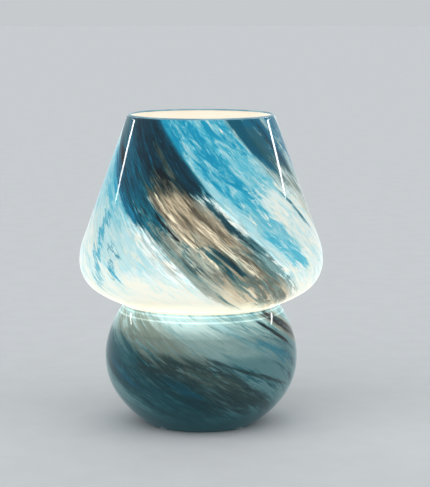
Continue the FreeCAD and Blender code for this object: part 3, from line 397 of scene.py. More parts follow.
def glass_side(sizes, inset, rim_inset, foot_level):
    """Points, as radius and height, down the glass's side: a straight cone and eight arcs."""
    upper = Vector((sizes.shade_radius - sizes.shoulder_upper, sizes.shade_height))
    lower = Vector((sizes.shade_radius - sizes.shoulder_lower, sizes.shade_height))
    turn = sizes.shoulder_lower_arc
    reach = sizes.underside - sizes.shoulder_lower
    under = lower + reach * Vector((-math.cos(turn), math.sin(turn)))
    base_upper = Vector((sizes.base_radius - sizes.base_upper, sizes.base_height))
    turn = sizes.base_upper_arc
    reach = sizes.base_crown - sizes.base_upper
    crown = base_upper - reach * Vector((math.cos(turn), math.sin(turn)))
    base_lower = Vector((sizes.base_radius - sizes.base_lower, sizes.base_height))
    turn = sizes.base_lower_arc
    reach = sizes.base_bottom - sizes.base_lower
    bottom = base_lower + reach * Vector((-math.cos(turn), math.sin(turn)))
    side = under - crown
    from_crown = sizes.base_crown + sizes.waist_fillet
    from_under = sizes.underside + sizes.waist_fillet
    along = (from_crown ** 2 - from_under ** 2 + side.length_squared) / (2 * side.length)
    across = math.sqrt(from_crown ** 2 - along ** 2)
    waist = crown + (along * side + across * Vector((side.y, -side.x))) / side.length

    rim = Vector((sizes.rim_radius - rim_inset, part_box("glass_body")[1].z))
    upper_radius = sizes.shoulder_upper - inset
    cone_turn = direction(upper, rim) - math.acos(upper_radius / (rim - upper).length)
    bottom_radius = sizes.base_bottom - inset
    foot_turn = -math.asin((bottom.y - foot_level) / bottom_radius)
    arcs = [
        (upper, upper_radius, cone_turn, 0),
        (lower, sizes.shoulder_lower - inset, 0, direction(under, lower)),
        (under, sizes.underside - inset, direction(under, lower), direction(under, waist)),
        (waist, sizes.waist_fillet + inset, direction(waist, under),
         2 * math.pi + direction(waist, crown)),
        (crown, sizes.base_crown - inset, direction(crown, waist), direction(crown, base_upper)),
        (base_upper, sizes.base_upper - inset, direction(crown, base_upper), 0),
        (base_lower, sizes.base_lower - inset, 0, direction(bottom, base_lower)),
        (bottom, bottom_radius, direction(bottom, base_lower), foot_turn),
    ]
    points = [rim]
    tangent = upper + upper_radius * Vector((math.cos(cone_turn), math.sin(cone_turn)))
    steps = math.ceil((tangent - rim).length / sizes.rings)
    points += [rim.lerp(tangent, i / steps) for i in range(1, steps + 1)]
    for centre, radius, start, end in arcs:
        steps = max(4, math.ceil(abs(end - start) * radius / sizes.rings))
        for i in range(1, steps + 1):
            angle = start + (end - start) * i / steps
            points.append(centre + radius * Vector((math.cos(angle), math.sin(angle))))
    return points


def lip(outer, inner, steps=10):
    """The rim's fire-polished round, over from the outer wall's top point to the inner one's."""
    middle = (outer + inner) / 2
    radius = (outer - inner).length / 2
    return [middle + radius * Vector((math.cos(turn), math.sin(turn)))
            for turn in (math.pi * i / steps for i in range(steps + 1))]


def turn_on_lathe(name, profile, segments, stray):
    """A closed mesh turned from a profile that starts and ends on the axis, strayed from round."""
    angles = np.linspace(0, 2 * np.pi, segments, endpoint=False)
    rings = []
    for radius, height in profile[1:-1]:
        radii = radius + stray(angles, height)
        rings.append(np.column_stack((radii * np.sin(angles), -radii * np.cos(angles),
                                      np.full(segments, height))))
    points = np.vstack([[0, 0, profile[0].y]] + rings + [[0, 0, profile[-1].y]])
    last = len(points) - 1
    here = np.arange(segments)
    after = (here + 1) % segments
    faces = [(0, 1 + b, 1 + a) for a, b in zip(here, after)]
    for ring in range(len(rings) - 1):
        low = 1 + ring * segments
        faces += [(low + a, low + b, low + segments + b, low + segments + a)
                  for a, b in zip(here, after)]
    top = last - segments
    faces += [(top + a, top + b, last) for a, b in zip(here, after)]
    mesh = bpy.data.meshes.new(name)
    mesh.from_pydata(points.tolist(), [], faces)
    return mesh


def bore_hole(piece, radius):
    """Cut the cord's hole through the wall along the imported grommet's own line."""
    low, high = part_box("cord_grommet")
    drop = Vector((0, math.cos(CORD_DROP), -math.sin(CORD_DROP)))
    turn = Vector((0, 0, 1)).rotation_difference(drop).to_matrix().to_4x4()
    cutter_mesh = bpy.data.meshes.new("cord_hole")
    sides = 48
    ring = [(radius * math.cos(2 * math.pi * i / sides), radius * math.sin(2 * math.pi * i / sides))
            for i in range(sides)]
    depth = 0.012
    points = [(x, y, end) for end in (-depth, depth) for x, y in ring]
    faces = [tuple(reversed(range(sides))), tuple(range(sides, 2 * sides))]
    faces += [(i, (i + 1) % sides, sides + (i + 1) % sides, sides + i) for i in range(sides)]
    cutter_mesh.from_pydata(points, [], faces)
    cutter = bpy.data.objects.new("cord_hole", cutter_mesh)
    cutter.matrix_world = Matrix.Translation((low + high) / 2) @ turn
    bpy.context.scene.collection.objects.link(cutter)
    cut = piece.modifiers.new("cord_hole", "BOOLEAN")
    cut.object = cutter
    cut.operation = "DIFFERENCE"
    cut.solver = "EXACT"
    bpy.context.view_layer.update()
    bored = bpy.data.meshes.new_from_object(
        piece.evaluated_get(bpy.context.evaluated_depsgraph_get()))
    piece.modifiers.clear()
    piece.data = bored
    bpy.data.objects.remove(cutter)


def write_flow(mesh, side, waist):
    """Store at each point where its colour lay before the glass was twisted: the cosine and
    sine of that azimuth, and the run down the side from the rim in millimetres."""
    heights = np.array([p.y for p in side])
    runs = np.concatenate(([0], np.cumsum([(b - a).length for a, b in zip(side, side[1:])])))
    crease = min(range(len(side)), key=lambda i: abs(side[i].y - waist))
    twist = RIM_TWIST + np.where(
        runs < runs[crease], SHADE_TWIST * runs,
        SHADE_TWIST * runs[crease] + BASE_TWIST * (runs - runs[crease]))
    place = np.zeros(len(mesh.vertices) * 3)
    mesh.vertices.foreach_get("co", place)
    place = place.reshape(-1, 3)
    run = np.interp(-place[:, 2], -heights, runs)
    azimuth = np.arctan2(place[:, 0], -place[:, 1]) - np.radians(
        np.interp(-place[:, 2], -heights, twist))
    flow = mesh.attributes.new("flow", "FLOAT_VECTOR", "POINT")
    flow.data.foreach_set("vector", np.column_stack(
        (np.cos(azimuth), np.sin(azimuth), run / MILLIMETRE)).astype(np.float32).ravel())


def ribbon_maker():
    """The node group that lays one pulled ribbon of colour over what is under it."""
    group = bpy.data.node_groups.new("pulled_ribbon", "ShaderNodeTree")
    for word in ("Under", "Ribbon", "Turn", "Height", "Streak", *RIBBON_NUMBERS, "Lean"):
        kind = "NodeSocketColor" if word in ("Under", "Ribbon") else "NodeSocketFloat"
        group.interface.new_socket(name=word, in_out="INPUT", socket_type=kind)
    group.interface.new_socket(name="Colour", in_out="OUTPUT", socket_type="NodeSocketColor")
    wiring = Wiring(group)
    given = wiring.node("NodeGroupInput").outputs
    total = wiring.sum
    drift = total("MULTIPLY", total("SUBTRACT", given["Height"], given["Top"]), given["Lean"])
    centre = total("ADD", given["Azimuth"], drift)
    away = total("ABSOLUTE", total("WRAP", total("SUBTRACT", given["Turn"], centre), 180.0, -180.0))
    across = wiring.ease(away, total("ADD", given["Half Width"], given["Feather"]),
                         total("SUBTRACT", given["Half Width"], given["Feather"]))
    begun = wiring.ease(given["Height"], total("ADD", given["Top"], given["Fade"]),
                        total("SUBTRACT", given["Top"], given["Fade"]))
    ended = wiring.ease(given["Height"], total("SUBTRACT", given["Bottom"], given["Fade"]),
                        total("ADD", given["Bottom"], given["Fade"]))
    within = total("MULTIPLY", across, total("MULTIPLY", begun, ended))
    torn = total("MULTIPLY_ADD", total("SUBTRACT", given["Streak"], 0.5), given["Ragged"], 1.0)
    cover = wiring.ease(total("MULTIPLY", within, torn), 0.15, 0.9)
    cover = total("MULTIPLY", cover, given["Cover"])
    end = wiring.node("NodeGroupOutput")
    wiring.feed(end.inputs[0], wiring.mix(cover, given["Under"], given["Ribbon"]))
    return group


def reaching(ribbons, start, end):
    """The ribbons that the glass of one sector may show."""
    middle, half = (start + end) / 2, (end - start) / 2
    kept = []
    for row in ribbons:
        _, azimuth, half_width, top, bottom, feather, *_, lean = row
        reach = half + half_width + feather + SWAY + abs(lean) * (top - bottom)
        if abs((azimuth - middle + 180) % 360 - 180) <= reach:
            kept.append(row)
    return kept


def lay_ribbons(wiring, group, under, ribbons, colours, turn, height, streaks):
    for colour, *numbers, streak, lean in ribbons:
        laid = wiring.node("ShaderNodeGroup")
        laid.node_tree = group
        given = {"Under": under, "Ribbon": opaque(getattr(colours, colour)), "Turn": turn,
                 "Height": height, "Streak": streaks[streak],
                 **dict(zip(RIBBON_NUMBERS, numbers)), "Lean": lean}
        for word, value in given.items():
            wiring.feed(laid.inputs[word], value)
        under = laid.outputs[0]
    return under


class PulledGlass:
    """Clear-cased glass with colour pulled down and twisted, lit from within: one material
    whose noises follow the run of the glass."""

    def __init__(self, name, finish):
        self.finish = finish
        self.material, self.wiring, self.shader = new_finish(
            name, roughness=finish.gloss, ior=1.45, specular_ior_level=0.42,
            emission_strength=1.0)
        wiring, total = self.wiring, self.wiring.sum
        self.flow = wiring.node("ShaderNodeAttribute", attribute_name="flow").outputs["Vector"]
        cosine, sine, _ = wiring.parts(self.flow)
        self.height = total("DIVIDE", wiring.parts(wiring.place())[2], MILLIMETRE)
        self.threads = self.drawn_out(0.17, 0.4, 6.0, 0.9)
        self.clouds = self.drawn_out(0.4, 0.16, 7.0, 0.9)
        sway, rise, _ = self.drawn_out(0.3, 0.035, 2.0, 0.0)
        turn = total("MULTIPLY", total("ARCTAN2", sine, cosine), 180 / math.pi)
        self.turn = total("MULTIPLY_ADD", total("SUBTRACT", sway, 0.5), SWAY, turn)
        self.level = total("MULTIPLY_ADD", total("SUBTRACT", rise, 0.5), 26.0, self.height)

    def drawn_out(self, along, scale, detail, distortion):
        """Three independent noises, drawn out along the pull of the glass."""
        return self.wiring.parts(self.wiring.noise(
            self.wiring.stretch(self.flow, (80, 80, along)), scale, detail, 0.62,
            distortion)["Color"])

    def blend(self, *layers, spread=0.17):
        """Three channels, each the weighed sum of the layers' own, spread past 0 and 1."""
        total = self.wiring.sum
        blended = []
        for channels in zip(*(noises for noises, _ in layers)):
            value = 0.0
            for channel, (_, weight) in zip(channels, layers):
                value = total("MULTIPLY_ADD", channel, weight, value)
            blended.append(self.wiring.ease(value, 0.5 - spread, 0.5 + spread, -0.35, 1.35))
        return blended

    def lay(self, under, ribbons, colours, streaks):
        ribbon = bpy.data.node_groups.get("pulled_ribbon") or ribbon_maker()
        return lay_ribbons(self.wiring, ribbon, under, ribbons, colours, self.turn, self.level,
                           streaks)

    def show(self, colour, glow, relief):
        """Turn the screen colour to light, and split it between the glass's own and the room's."""
        wiring, shader = self.wiring, self.shader
        body = opaque([self.finish.body] * 3)
        light = wiring.node("ShaderNodeGamma")
        wiring.feed(light.inputs["Color"], colour)
        light.inputs["Gamma"].default_value = 2.2
        colour = light.outputs[0]
        wiring.feed(shader.inputs["Emission Color"], wiring.mix(1.0, colour, glow, "MULTIPLY"))
        wiring.feed(shader.inputs["Base Color"], wiring.mix(1.0, colour, body, "MULTIPLY"))
        wiring.feed(shader.inputs["Normal"], wiring.bump(relief, 0.000015))
        return self.material


def shade_glass(colours, finish, sector, start, end):
    """Cool white with flecks, the ribbons over it, and the bulb's glow low down."""
    glass = PulledGlass("shade_glass_" + sector, finish)
    wiring, total, clouds = glass.wiring, glass.wiring.sum, glass.clouds
    streams = glass.drawn_out(0.18, 0.12, 5.0, 0.5)
    mottles = glass.drawn_out(0.7, 0.12, 6.0, 0.8)
    streaks = glass.blend((glass.threads, 0.3), (streams, 0.28), (clouds, 0.42))
    streaks += glass.blend((clouds, 0.58), (mottles, 0.37), (glass.threads, 0.05), spread=0.2)
    glass.level = total("MULTIPLY_ADD", total("SUBTRACT", streaks[1], 0.5), 10.0, glass.level)
    shade = wiring.mix(wiring.ease(streaks[3], 0.2, 1.2, 0.0, 0.9), opaque(colours.ice),
                       opaque(colours.pale_sky))
    shade = wiring.mix(wiring.ease(streaks[4], 0.2, 1.1, 0.0, 0.75), shade,
                       opaque(colours.cream))
    shade = glass.lay(shade, reaching(SHADE_RIBBONS, start, end), colours, streaks)
    # pale feathers over the middle tones, and hardly any in the dark band
    feathers = wiring.ease(total("MULTIPLY_ADD", glass.threads[2], 0.35,
                                 total("MULTIPLY", mottles[2], 0.65)), 0.44, 0.68, 0.0, 0.8)
    brightness = wiring.node("ShaderNodeRGBToBW")
    wiring.feed(brightness.inputs[0], shade)
    feathers = total("MULTIPLY", feathers, wiring.ease(brightness.outputs[0], 0.34, 0.5))
    feathers = total("MULTIPLY", feathers,
                     wiring.ease(brightness.outputs[0], 0.84, 0.66, 0.25, 1.0))
    outside = wiring.ease(total("ABSOLUTE", total("ADD", glass.turn, 1.0)), 36.0, 27.0, 1.0, 0.08)
    shade = wiring.mix(total("MULTIPLY", feathers, outside), shade, opaque(colours.ice))
    # fine threads in the dark band, above the glow
    fine = wiring.ease(glass.threads[0], 0.34, 0.66, 0.7, 1.3)
    within = wiring.ease(total("ABSOLUTE", glass.turn), 34.0, 22.0, 0.1, 0.9)
    shade = wiring.mix(total("MULTIPLY", within, wiring.ease(glass.height, 108.0, 140.0)), shade,
                       wiring.mix(1.0, shade, fine, "MULTIPLY"))
    # painted light: the shade turns cream low down, where the bulb's light comes through
    shade = wiring.mix(wiring.ease(glass.height, 136.0, 106.0, 0.0, 0.72), shade,
                       opaque(colours.cream))
    shade = glass.lay(shade, reaching(GLOW_RIBBONS, start, end), colours, streaks)
    # painted light: more light from the glass low in the shade beside the bulb, and the underside in
    # the glow's colour and brighter still
    low = wiring.ease(glass.height, 165.0, 112.0, finish.glow, finish.low_glow)
    beneath = wiring.ease(glass.height, 114.0, 101.0)
    shade = wiring.mix(total("MULTIPLY", beneath, 0.85), shade, opaque(colours.glow))
    under = total("MULTIPLY_ADD", beneath, finish.under_glow - 1.0, 1.0)
    return glass.show(shade, total("MULTIPLY", low, under), streams[0])


def base_glass(colours, finish):
    """Marbled grey-green, lighter at the top with painted light and dark at the foot with painted
    shade.
    """
    glass = PulledGlass("base_glass", finish)
    wiring, total = glass.wiring, glass.wiring.sum
    marble = glass.drawn_out(0.75, 0.075, 6.0, 0.9)
    swirls = glass.blend((marble, 0.45), (glass.clouds, 0.35), (glass.threads, 0.2))
    base = wiring.mix(wiring.ease(swirls[0], 0.35, 1.3), opaque(colours.mist),
                      opaque(colours.kelp))
    # painted light: lighter haze towards the top of the base, near the lit shade
    base = wiring.mix(total("MULTIPLY", wiring.ease(glass.height, 62.0, 86.0),
                            wiring.ease(swirls[1], 0.9, 0.1, 0.3, 1.0)), base,
                      opaque(colours.haze))
    base = glass.lay(base, BASE_RIBBONS, colours, swirls)
    base = wiring.mix(wiring.ease(swirls[2], 0.6, 1.3, 0.0, 0.5), base, opaque(colours.mist))
    # painted shade: darker towards the foot, far from the bulb
    base = wiring.mix(wiring.ease(glass.height, 34.0, 6.0, 0.0, 0.8), base,
                      opaque(colours.pool))
    # painted light from the shade on the shoulder, standing in for its reflection there too, down to
    # a clear edge, and stronger above
    falls = wiring.ease(total("MULTIPLY_ADD", total("SUBTRACT", swirls[0], 0.5), 1.0,
                              glass.height), 79.2, 81.4)
    led = wiring.ease(glass.height, 80.0, 97.0, finish.glow, finish.glow * finish.waist_glow)
    # painted reflection: thin bright rings under the waist, in the ice colour and in the glass's
    # light
    rings = total("ADD", *(wiring.ease(total("ABSOLUTE", total("SUBTRACT", glass.height, level)),
                                       1.0, 0.1, 0.0, share) for level, share in RING_REFLECTIONS))
    base = wiring.mix(total("MULTIPLY", rings, 0.5), base, opaque(colours.ice))
    led = total("MULTIPLY", led, total("ADD", rings, total("MULTIPLY_ADD", falls, 0.45, 1.0)))
    return glass.show(base, led, marble[0])


def opal_lining(colours):
    """The opal layer inside: warm with the bulb's light, brighter towards the rim, and a little
    uneven where the glass was gathered."""
    material, wiring, shader = new_finish("opal_lining", roughness=0.12, ior=1.45,
                                          emission_strength=1.0)
    place = wiring.place()
    gathered = wiring.noise(place, 28.0, 3.0)[0]
    colour = wiring.mix(wiring.ease(gathered, 0.35, 0.7, 0.0, 0.3), as_light(colours.lining),
                        as_light(colours.sand))
    light = wiring.ease(wiring.parts(place)[2], 0.23, 0.13, 0.56, 0.30)
    wiring.feed(shader.inputs["Base Color"],
                wiring.mix(1.0, colour, opaque((0.5, 0.5, 0.5)), "MULTIPLY"))
    wiring.feed(shader.inputs["Emission Color"], wiring.mix(1.0, colour, light, "MULTIPLY"))
    return material


def polished_lip(colours, finish):
    """The rim, where the clear casing shows on edge."""
    # painted light: the lip gives off a little of its own colour, as light from inside comes through
    material, wiring, shader = new_finish("polished_lip", roughness=finish.gloss, ior=1.5,
                                          emission_strength=0.3)
    seeds = wiring.noise(wiring.place(), 40.0, 2.0)[0]
    colour = wiring.mix(wiring.ease(seeds, 0.4, 0.7, 0.0, 0.2), as_light(colours.lip),
                        as_light(colours.ice))
    wiring.feed(shader.inputs["Base Color"], colour)
    wiring.feed(shader.inputs["Emission Color"], colour)
    return material


class LampBlownGlass(bpy.types.Operator):
    """Turn the shade, waist and base as one glass wall, and lay the pulled colours in it"""
    bl_idname = "lamp.blown_glass"
    bl_label = "Blown Glass"

    def execute(self, context):
        sizes = context.scene.lamp_glass_sizes
        colours, finish = context.scene.lamp_glass_colours, context.scene.lamp_finish
        foot_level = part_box("glass_body")[0].z
        outer = glass_side(sizes, 0, 0, foot_level)
        inner = glass_side(sizes, sizes.wall, sizes.rim_wall, foot_level + sizes.floor_wall)
        # the lip's round takes the place of the walls' last stretch under the rim
        below = sizes.rim_wall / 2
        outer_top, inner_top = (Vector((side[0].x, side[0].y - below)) for side in (outer, inner))
        outer_wall = [p for p in outer if p.y < outer_top.y]
        inner_wall = [p for p in inner if p.y < inner_top.y]
        round_over = lip(outer_top, inner_top)
        foot = outer[-1]
        floor = inner[-1]
        profile = [Vector((0, foot.y + sizes.punty_rise)),
                   Vector((foot.x - sizes.foot_width, foot.y))]
        profile += list(reversed(outer_wall)) + round_over + inner_wall
        profile.append(Vector((0, floor.y)))

        def stray(angles, height):
            full = sum(math.exp(-((height - level) / spread) ** 2) for level, spread in RIPPLES)
            return -sizes.ripple * full * (1 + np.sin(2 * angles + 40 * height)
                                           * np.cos(3 * angles - 25 * height + 1)) / 2

        mesh = turn_on_lathe("blown_glass", profile, sizes.segments, stray)
        for material in (base_glass(colours, finish), opal_lining(colours),
                         polished_lip(colours, finish),
                         *(shade_glass(colours, finish, *sector) for sector in SECTORS)):
            mesh.materials.append(material)
        lip_start = 1 + len(outer_wall)
        lip_end = lip_start + len(round_over)
        waist = 1 + sum(p.y < sizes.waist for p in outer_wall)
        rows = np.arange(len(mesh.polygons)) // sizes.segments
        index = np.select([rows <= waist, rows <= lip_start, rows < lip_end],
                          [BASE_SLOT, SHADE_SLOT, LIP_SLOT], LINING_SLOT)
        mesh.polygons.foreach_set("material_index", index.astype(np.int32))
        piece = bpy.data.objects.new("blown_glass_body", mesh)
        context.scene.collection.objects.link(piece)
        bore_hole(piece, sizes.cord_hole)
        write_flow(piece.data, outer, sizes.waist)
        flow = piece.data.attributes["flow"].data
        for face in piece.data.polygons:
            if face.material_index == SHADE_SLOT:
                cosine, sine, _ = flow[face.vertices[0]].vector
                turn = math.degrees(math.atan2(sine, cosine))
                face.material_index += next(
                    i for i, (_, start, end) in enumerate(SECTORS)
                    if (turn - start) % 360 < end - start)
        piece.data.shade_smooth()
        piece.data.set_sharp_from_angle(angle=math.radians(50))
        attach(piece, "root")
        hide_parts("glass_body")
        return {"FINISHED"}


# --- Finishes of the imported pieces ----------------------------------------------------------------

def numbered(word, count):
    return ["%s_%d" % (word, i) for i in range(1, count + 1)]


def dress(material, *names):
    """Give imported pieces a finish."""
    for name in names:
        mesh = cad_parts[name].data
        mesh.materials.clear()
        mesh.materials.append(material)


def moulded(name, colour, speckle, roughness, grain=900.0, depth=0.00001, **constants):
    """A moulded or cast finish: faint clouds of a second colour and a fine skin."""
    material, wiring, shader = new_finish(name, **constants)
    place = wiring.place()
    clouds = wiring.noise(place, 60.0, 3.0)[0]
    skin = wiring.noise(place, grain, 2.0)[0]
    wiring.feed(shader.inputs["Base Color"],
                wiring.mix(wiring.ease(clouds, 0.35, 0.7), opaque(colour), opaque(speckle)))
    wiring.feed(shader.inputs["Roughness"],
                wiring.ease(skin, 0.3, 0.7, roughness * 0.85, roughness * 1.15))
    wiring.feed(shader.inputs["Normal"], wiring.bump(skin, depth))
    return material


def rolled(name, colour, tarnish, roughness, run, depth=0.00001, **constants):
    """A metal finish: fine lines drawn out along one axis, with a little tarnish."""
    material, wiring, shader = new_finish(name, metallic=1.0, **constants)
    lines = wiring.noise(wiring.stretch(wiring.place(), run), 1.0, 4.0, 0.6)[0]
    stain = wiring.noise(wiring.place(), 90.0, 4.0)[0]
    wiring.feed(shader.inputs["Base Color"],
                wiring.mix(wiring.ease(stain, 0.4, 0.75), opaque(colour), opaque(tarnish)))
    wiring.feed(shader.inputs["Roughness"],
                wiring.ease(lines, 0.3, 0.7, roughness * 0.7, roughness * 1.3))
    wiring.feed(shader.inputs["Normal"], wiring.bump(lines, depth))
    return material


def glowing(name, dim, bright, grain, **constants):
    """A finish that gives off its own colour, with faint clouds between a dim and a bright one."""
    material, wiring, shader = new_finish(name, **constants)
    clouds = wiring.noise(wiring.place(), grain, 2.0)[0]
    colour = wiring.mix(wiring.ease(clouds, 0.3, 0.7), opaque(dim), opaque(bright))
    wiring.feed(shader.inputs["Base Color"], colour)
    wiring.feed(shader.inputs["Emission Color"], colour)
    return material


class LampFeet(bpy.types.Operator):
    """Finish the clear foot pads and the rubber grommet in the cord's hole"""
    bl_idname = "lamp.feet"
    bl_label = "Feet and Grommet"

    def execute(self, context):
        clear = moulded("clear_bumper", (0.72, 0.75, 0.74), (0.82, 0.84, 0.83), 0.2,
                        ior=1.46, transmission_weight=0.6)
        dress(clear, *numbered("foot_pad", 4))
        dress(moulded("black_rubber", (0.018, 0.018, 0.019), (0.03, 0.03, 0.031), 0.55),
              "cord_grommet")
        return {"FINISHED"}


class LampBracket(bpy.types.Operator):
    """Finish the three-armed bracket with its boots, clips, sleeves and rivets"""
    bl_idname = "lamp.bracket"
    bl_label = "Bracket"

    def execute(self, context):
        dress(rolled("zinc_plate", (0.62, 0.64, 0.66), (0.48, 0.5, 0.51), 0.32, (900, 900, 60)),
              "bracket")
        dress(rolled("spring_strip", (0.55, 0.56, 0.58), (0.4, 0.4, 0.41), 0.24, (60, 60, 900)),
              *numbered("spring_clip", 3))
        dress(moulded("boot_silicone", (0.72, 0.72, 0.69), (0.8, 0.8, 0.78), 0.42,
                      subsurface_weight=0.3),
              *numbered("arm_boot", 3), *numbered("toe_sleeve", 3))
        dress(rolled("rivet_aluminium", (0.72, 0.72, 0.74), (0.6, 0.6, 0.61), 0.3,
                     (400, 400, 400)), *numbered("clip_rivet", 3))
        return {"FINISHED"}


class LampHolder(bpy.types.Operator):
    """Finish the lampholder: its shell, ring, washer, cap, insert, contacts and terminals"""
    bl_idname = "lamp.holder"
    bl_label = "Lampholder"

    def execute(self, context):
        dress(moulded("holder_plastic", (0.8, 0.8, 0.77), (0.86, 0.86, 0.83), 0.34),
              "holder_shell", "shade_ring", "holder_cap")
        dress(moulded("fibre_washer", (0.2, 0.1, 0.05), (0.3, 0.17, 0.09), 0.75, 1500.0, 0.00004),
              "holder_washer")
        dress(moulded("insert_ceramic", (0.84, 0.82, 0.76), (0.9, 0.88, 0.83), 0.14),
              "holder_insert")
        brass = rolled("contact_brass", (0.72, 0.5, 0.2), (0.5, 0.32, 0.12), 0.26, (700, 700, 90))
        dress(brass, "screw_shell", "centre_contact", *numbered("terminal_block", 2))
        dress(rolled("screw_steel", (0.6, 0.61, 0.63), (0.42, 0.42, 0.43), 0.28, (90, 90, 700)),
              *numbered("terminal_screw", 2))
        return {"FINISHED"}


class LampBulb(bpy.types.Operator):
    """Finish the screw-in bulb and light its globe"""
    bl_idname = "lamp.bulb"
    bl_label = "Bulb"

    def execute(self, context):
        dress(rolled("cap_nickel", (0.66, 0.65, 0.62), (0.5, 0.49, 0.46), 0.2, (90, 90, 900)),
              "bulb_cap")
        dress(moulded("insulator_black", (0.012, 0.012, 0.014), (0.03, 0.03, 0.034), 0.12),
              "cap_insulator")
        dress(rolled("solder_tip", (0.6, 0.6, 0.6), (0.45, 0.45, 0.46), 0.4, (300, 300, 300)),
              "cap_contact")
        dress(moulded("bulb_plastic", (0.86, 0.86, 0.84), (0.9, 0.9, 0.88), 0.3), "bulb_housing")
        dress(glowing("opal_diffuser", (1.0, 0.91, 0.76), (1.0, 0.95, 0.84), 45.0,
                      roughness=0.22, emission_strength=0.5), "bulb_globe")
        dress(rolled("board_aluminium", (0.86, 0.86, 0.86), (0.8, 0.8, 0.8), 0.45,
                     (300, 300, 300)), "led_board")
        dress(glowing("led_phosphor", (0.9, 0.62, 0.05), (1.0, 0.78, 0.2), 2400.0,
                      roughness=0.5, emission_strength=2.0), "led_chips")
        dress(moulded("board_green", (0.01, 0.08, 0.02), (0.02, 0.13, 0.04), 0.25, 500.0),
              "driver_board")
        dress(moulded("capacitor_sleeve", (0.01, 0.012, 0.018), (0.02, 0.022, 0.03), 0.2),
              "driver_capacitor")
        return {"FINISHED"}


# --- Stage ----------------------------------------------------------------------------------------

# Thin tubes that the glass mirrors: both ends, and the tube's thickness, in metres.
STRIPS = (
    ("strip_left", ((-0.8, 0.86, 0.551), (-0.8, 0.26, 0.405)), 0.026),
    ("strip_right", ((0.8, 0.86, 0.551), (0.8, 0.26, 0.405)), 0.034),
)
STRIP_RADIANCE = 12.0
# Windows: the way that each faces round the lamp, in degrees, and its strength.
WINDOWS = (("key", -40, 0.44), ("fill", 55, 0.32), ("back", 170, 0.24))
WINDOW_BREADTH, WINDOW_TILT = math.radians(70), math.radians(52)
# The room's own light, where the backdrop isn't seen or mirrored.
ROOM_LIGHT = [0.42, 0.425, 0.43, 1.0]


def add_window(name, turn, strength):
    """Broad, even daylight from one side, which only the matt share of a surface shows."""
    light = bpy.data.lights.new(name, "SUN")
    light.energy = strength
    light.angle = WINDOW_BREADTH
    lamp = bpy.data.objects.new(name, light)
    lamp.rotation_euler = (WINDOW_TILT, 0, math.radians(turn))
    lamp.visible_glossy = False
    bpy.context.scene.collection.objects.link(lamp)


def add_strip(name, ends, thickness):
    """A thin tube of light beside the lamp, which only polished surfaces show."""
    start, end = (Vector(point) for point in ends)
    middle = (start + end) / 2
    along = (end - start).normalized()
    facing = (Vector((0, 0, 0.2)) - middle).normalized()
    across = along.cross(facing).normalized()
    light = bpy.data.lights.new(name, "AREA")
    light.shape = "ELLIPSE"
    light.size, light.size_y = (end - start).length, thickness
    light.energy = STRIP_RADIANCE * math.pi * light.size * light.size_y
    lamp = bpy.data.objects.new(name, light)
    lamp.matrix_world = Matrix.Translation(middle) @ Matrix(
        (along, across, along.cross(across))).transposed().to_4x4()
    if (lamp.matrix_world.to_3x3() @ Vector((0, 0, -1))).dot(facing) < 0:
        lamp.matrix_world = lamp.matrix_world @ Matrix.Rotation(math.pi, 4, "X")
    lamp.visible_diffuse = False
    bpy.context.scene.collection.objects.link(lamp)


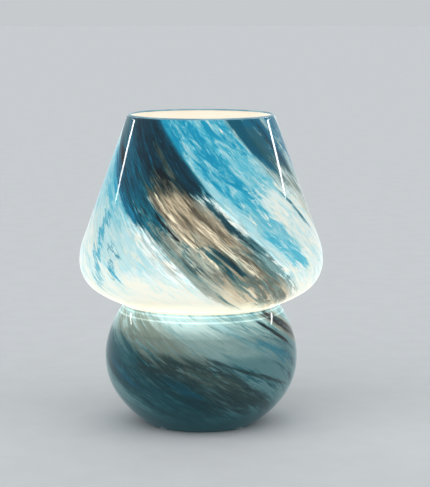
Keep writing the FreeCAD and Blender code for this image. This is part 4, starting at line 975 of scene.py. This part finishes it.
class LampStageSet(bpy.types.Operator):
    """Lay the plain pale floor, the soft studio light and the camera"""
    bl_idname = "lamp.stage"
    bl_label = "Stage"

    def execute(self, context):
        stage = context.scene.lamp_stage
        pale = as_light(stage.backdrop)
        floor_mesh = bpy.data.meshes.new("floor")
        reach, sides = 14.0, 96
        floor_mesh.from_pydata([(reach * math.sin(2 * math.pi * i / sides),
                                 reach * math.cos(2 * math.pi * i / sides), 0)
                                for i in range(sides)], [], [tuple(reversed(range(sides)))])
        floor = bpy.data.objects.new("floor", floor_mesh)
        context.scene.collection.objects.link(floor)
        material, wiring, shader = new_finish("pale_floor", roughness=0.8, specular_ior_level=0.0)
        grain = wiring.noise(wiring.place(), 35.0, 4.0)[0]
        wiring.feed(shader.inputs["Base Color"],
                    wiring.mix(wiring.ease(grain, 0.3, 0.7),
                               opaque(c * 0.97 for c in pale[:3]), pale))
        floor_mesh.materials.append(material)

        world = bpy.data.worlds.new("studio")
        context.scene.world = world
        world.use_nodes = True
        world.node_tree.nodes.clear()
        wiring = Wiring(world.node_tree)
        path = wiring.node("ShaderNodeLightPath").outputs
        seen = wiring.sum("MAXIMUM", path["Is Camera Ray"],
                          wiring.sum("MAXIMUM", path["Is Glossy Ray"],
                                     path["Is Transmission Ray"]))
        room = wiring.node("ShaderNodeBackground")
        wiring.feed(room.inputs["Color"], wiring.mix(seen, ROOM_LIGHT, pale))
        end = wiring.node("ShaderNodeOutputWorld")
        world.node_tree.links.new(room.outputs[0], end.inputs[0])

        for name, turn, strength in WINDOWS:
            add_window(name, turn, strength * math.pi)
        for name, ends, thickness in STRIPS:
            add_strip(name, ends, thickness)

        camera = bpy.data.cameras.new("camera")
        camera.sensor_width = 36.0
        camera.lens = stage.lens
        view = bpy.data.objects.new("camera", camera)
        view.location = (0, -stage.distance, stage.height)
        view.rotation_euler = (math.pi / 2 - stage.dip, 0, stage.turn)
        context.scene.collection.objects.link(view)
        context.scene.camera = view
        context.scene.view_settings.view_transform = "Standard"
        return {"FINISHED"}


class LampPanel(bpy.types.Panel):
    """A button for each step, and every size, colour and finish that the steps use"""
    bl_idname = "LAMP_PT_parts"
    bl_label = "Mushroom Table Lamp"
    bl_space_type = "VIEW_3D"
    bl_region_type = "UI"
    bl_category = "Lamp"

    def draw(self, context):
        for operator in OPERATORS:
            self.layout.operator(operator.bl_idname)
        for name, group in GROUPS:
            box = self.layout.box()
            settings = getattr(context.scene, name)
            for word in group.__annotations__:
                box.prop(settings, word)


OPERATORS = (LampStageSet, LampBlownGlass, LampFeet, LampBracket, LampHolder, LampBulb)
GROUPS = (("lamp_glass_sizes", LampGlassSizes), ("lamp_glass_colours", LampGlassColours),
          ("lamp_finish", LampFinish), ("lamp_stage", LampStage))


def register():
    for name, group in GROUPS:
        bpy.utils.register_class(group)
        setattr(bpy.types.Scene, name, PointerProperty(type=group))
    for kind in OPERATORS + (LampPanel,):
        bpy.utils.register_class(kind)


def unregister():
    for kind in reversed(OPERATORS + (LampPanel,)):
        bpy.utils.unregister_class(kind)
    for name, group in reversed(GROUPS):
        delattr(bpy.types.Scene, name)
        bpy.utils.unregister_class(group)


def main():
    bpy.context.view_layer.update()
    register()
    for operator in OPERATORS:
        getattr(bpy.ops.lamp, operator.bl_idname.split(".")[1])()


if __name__ == "__main__":
    main()
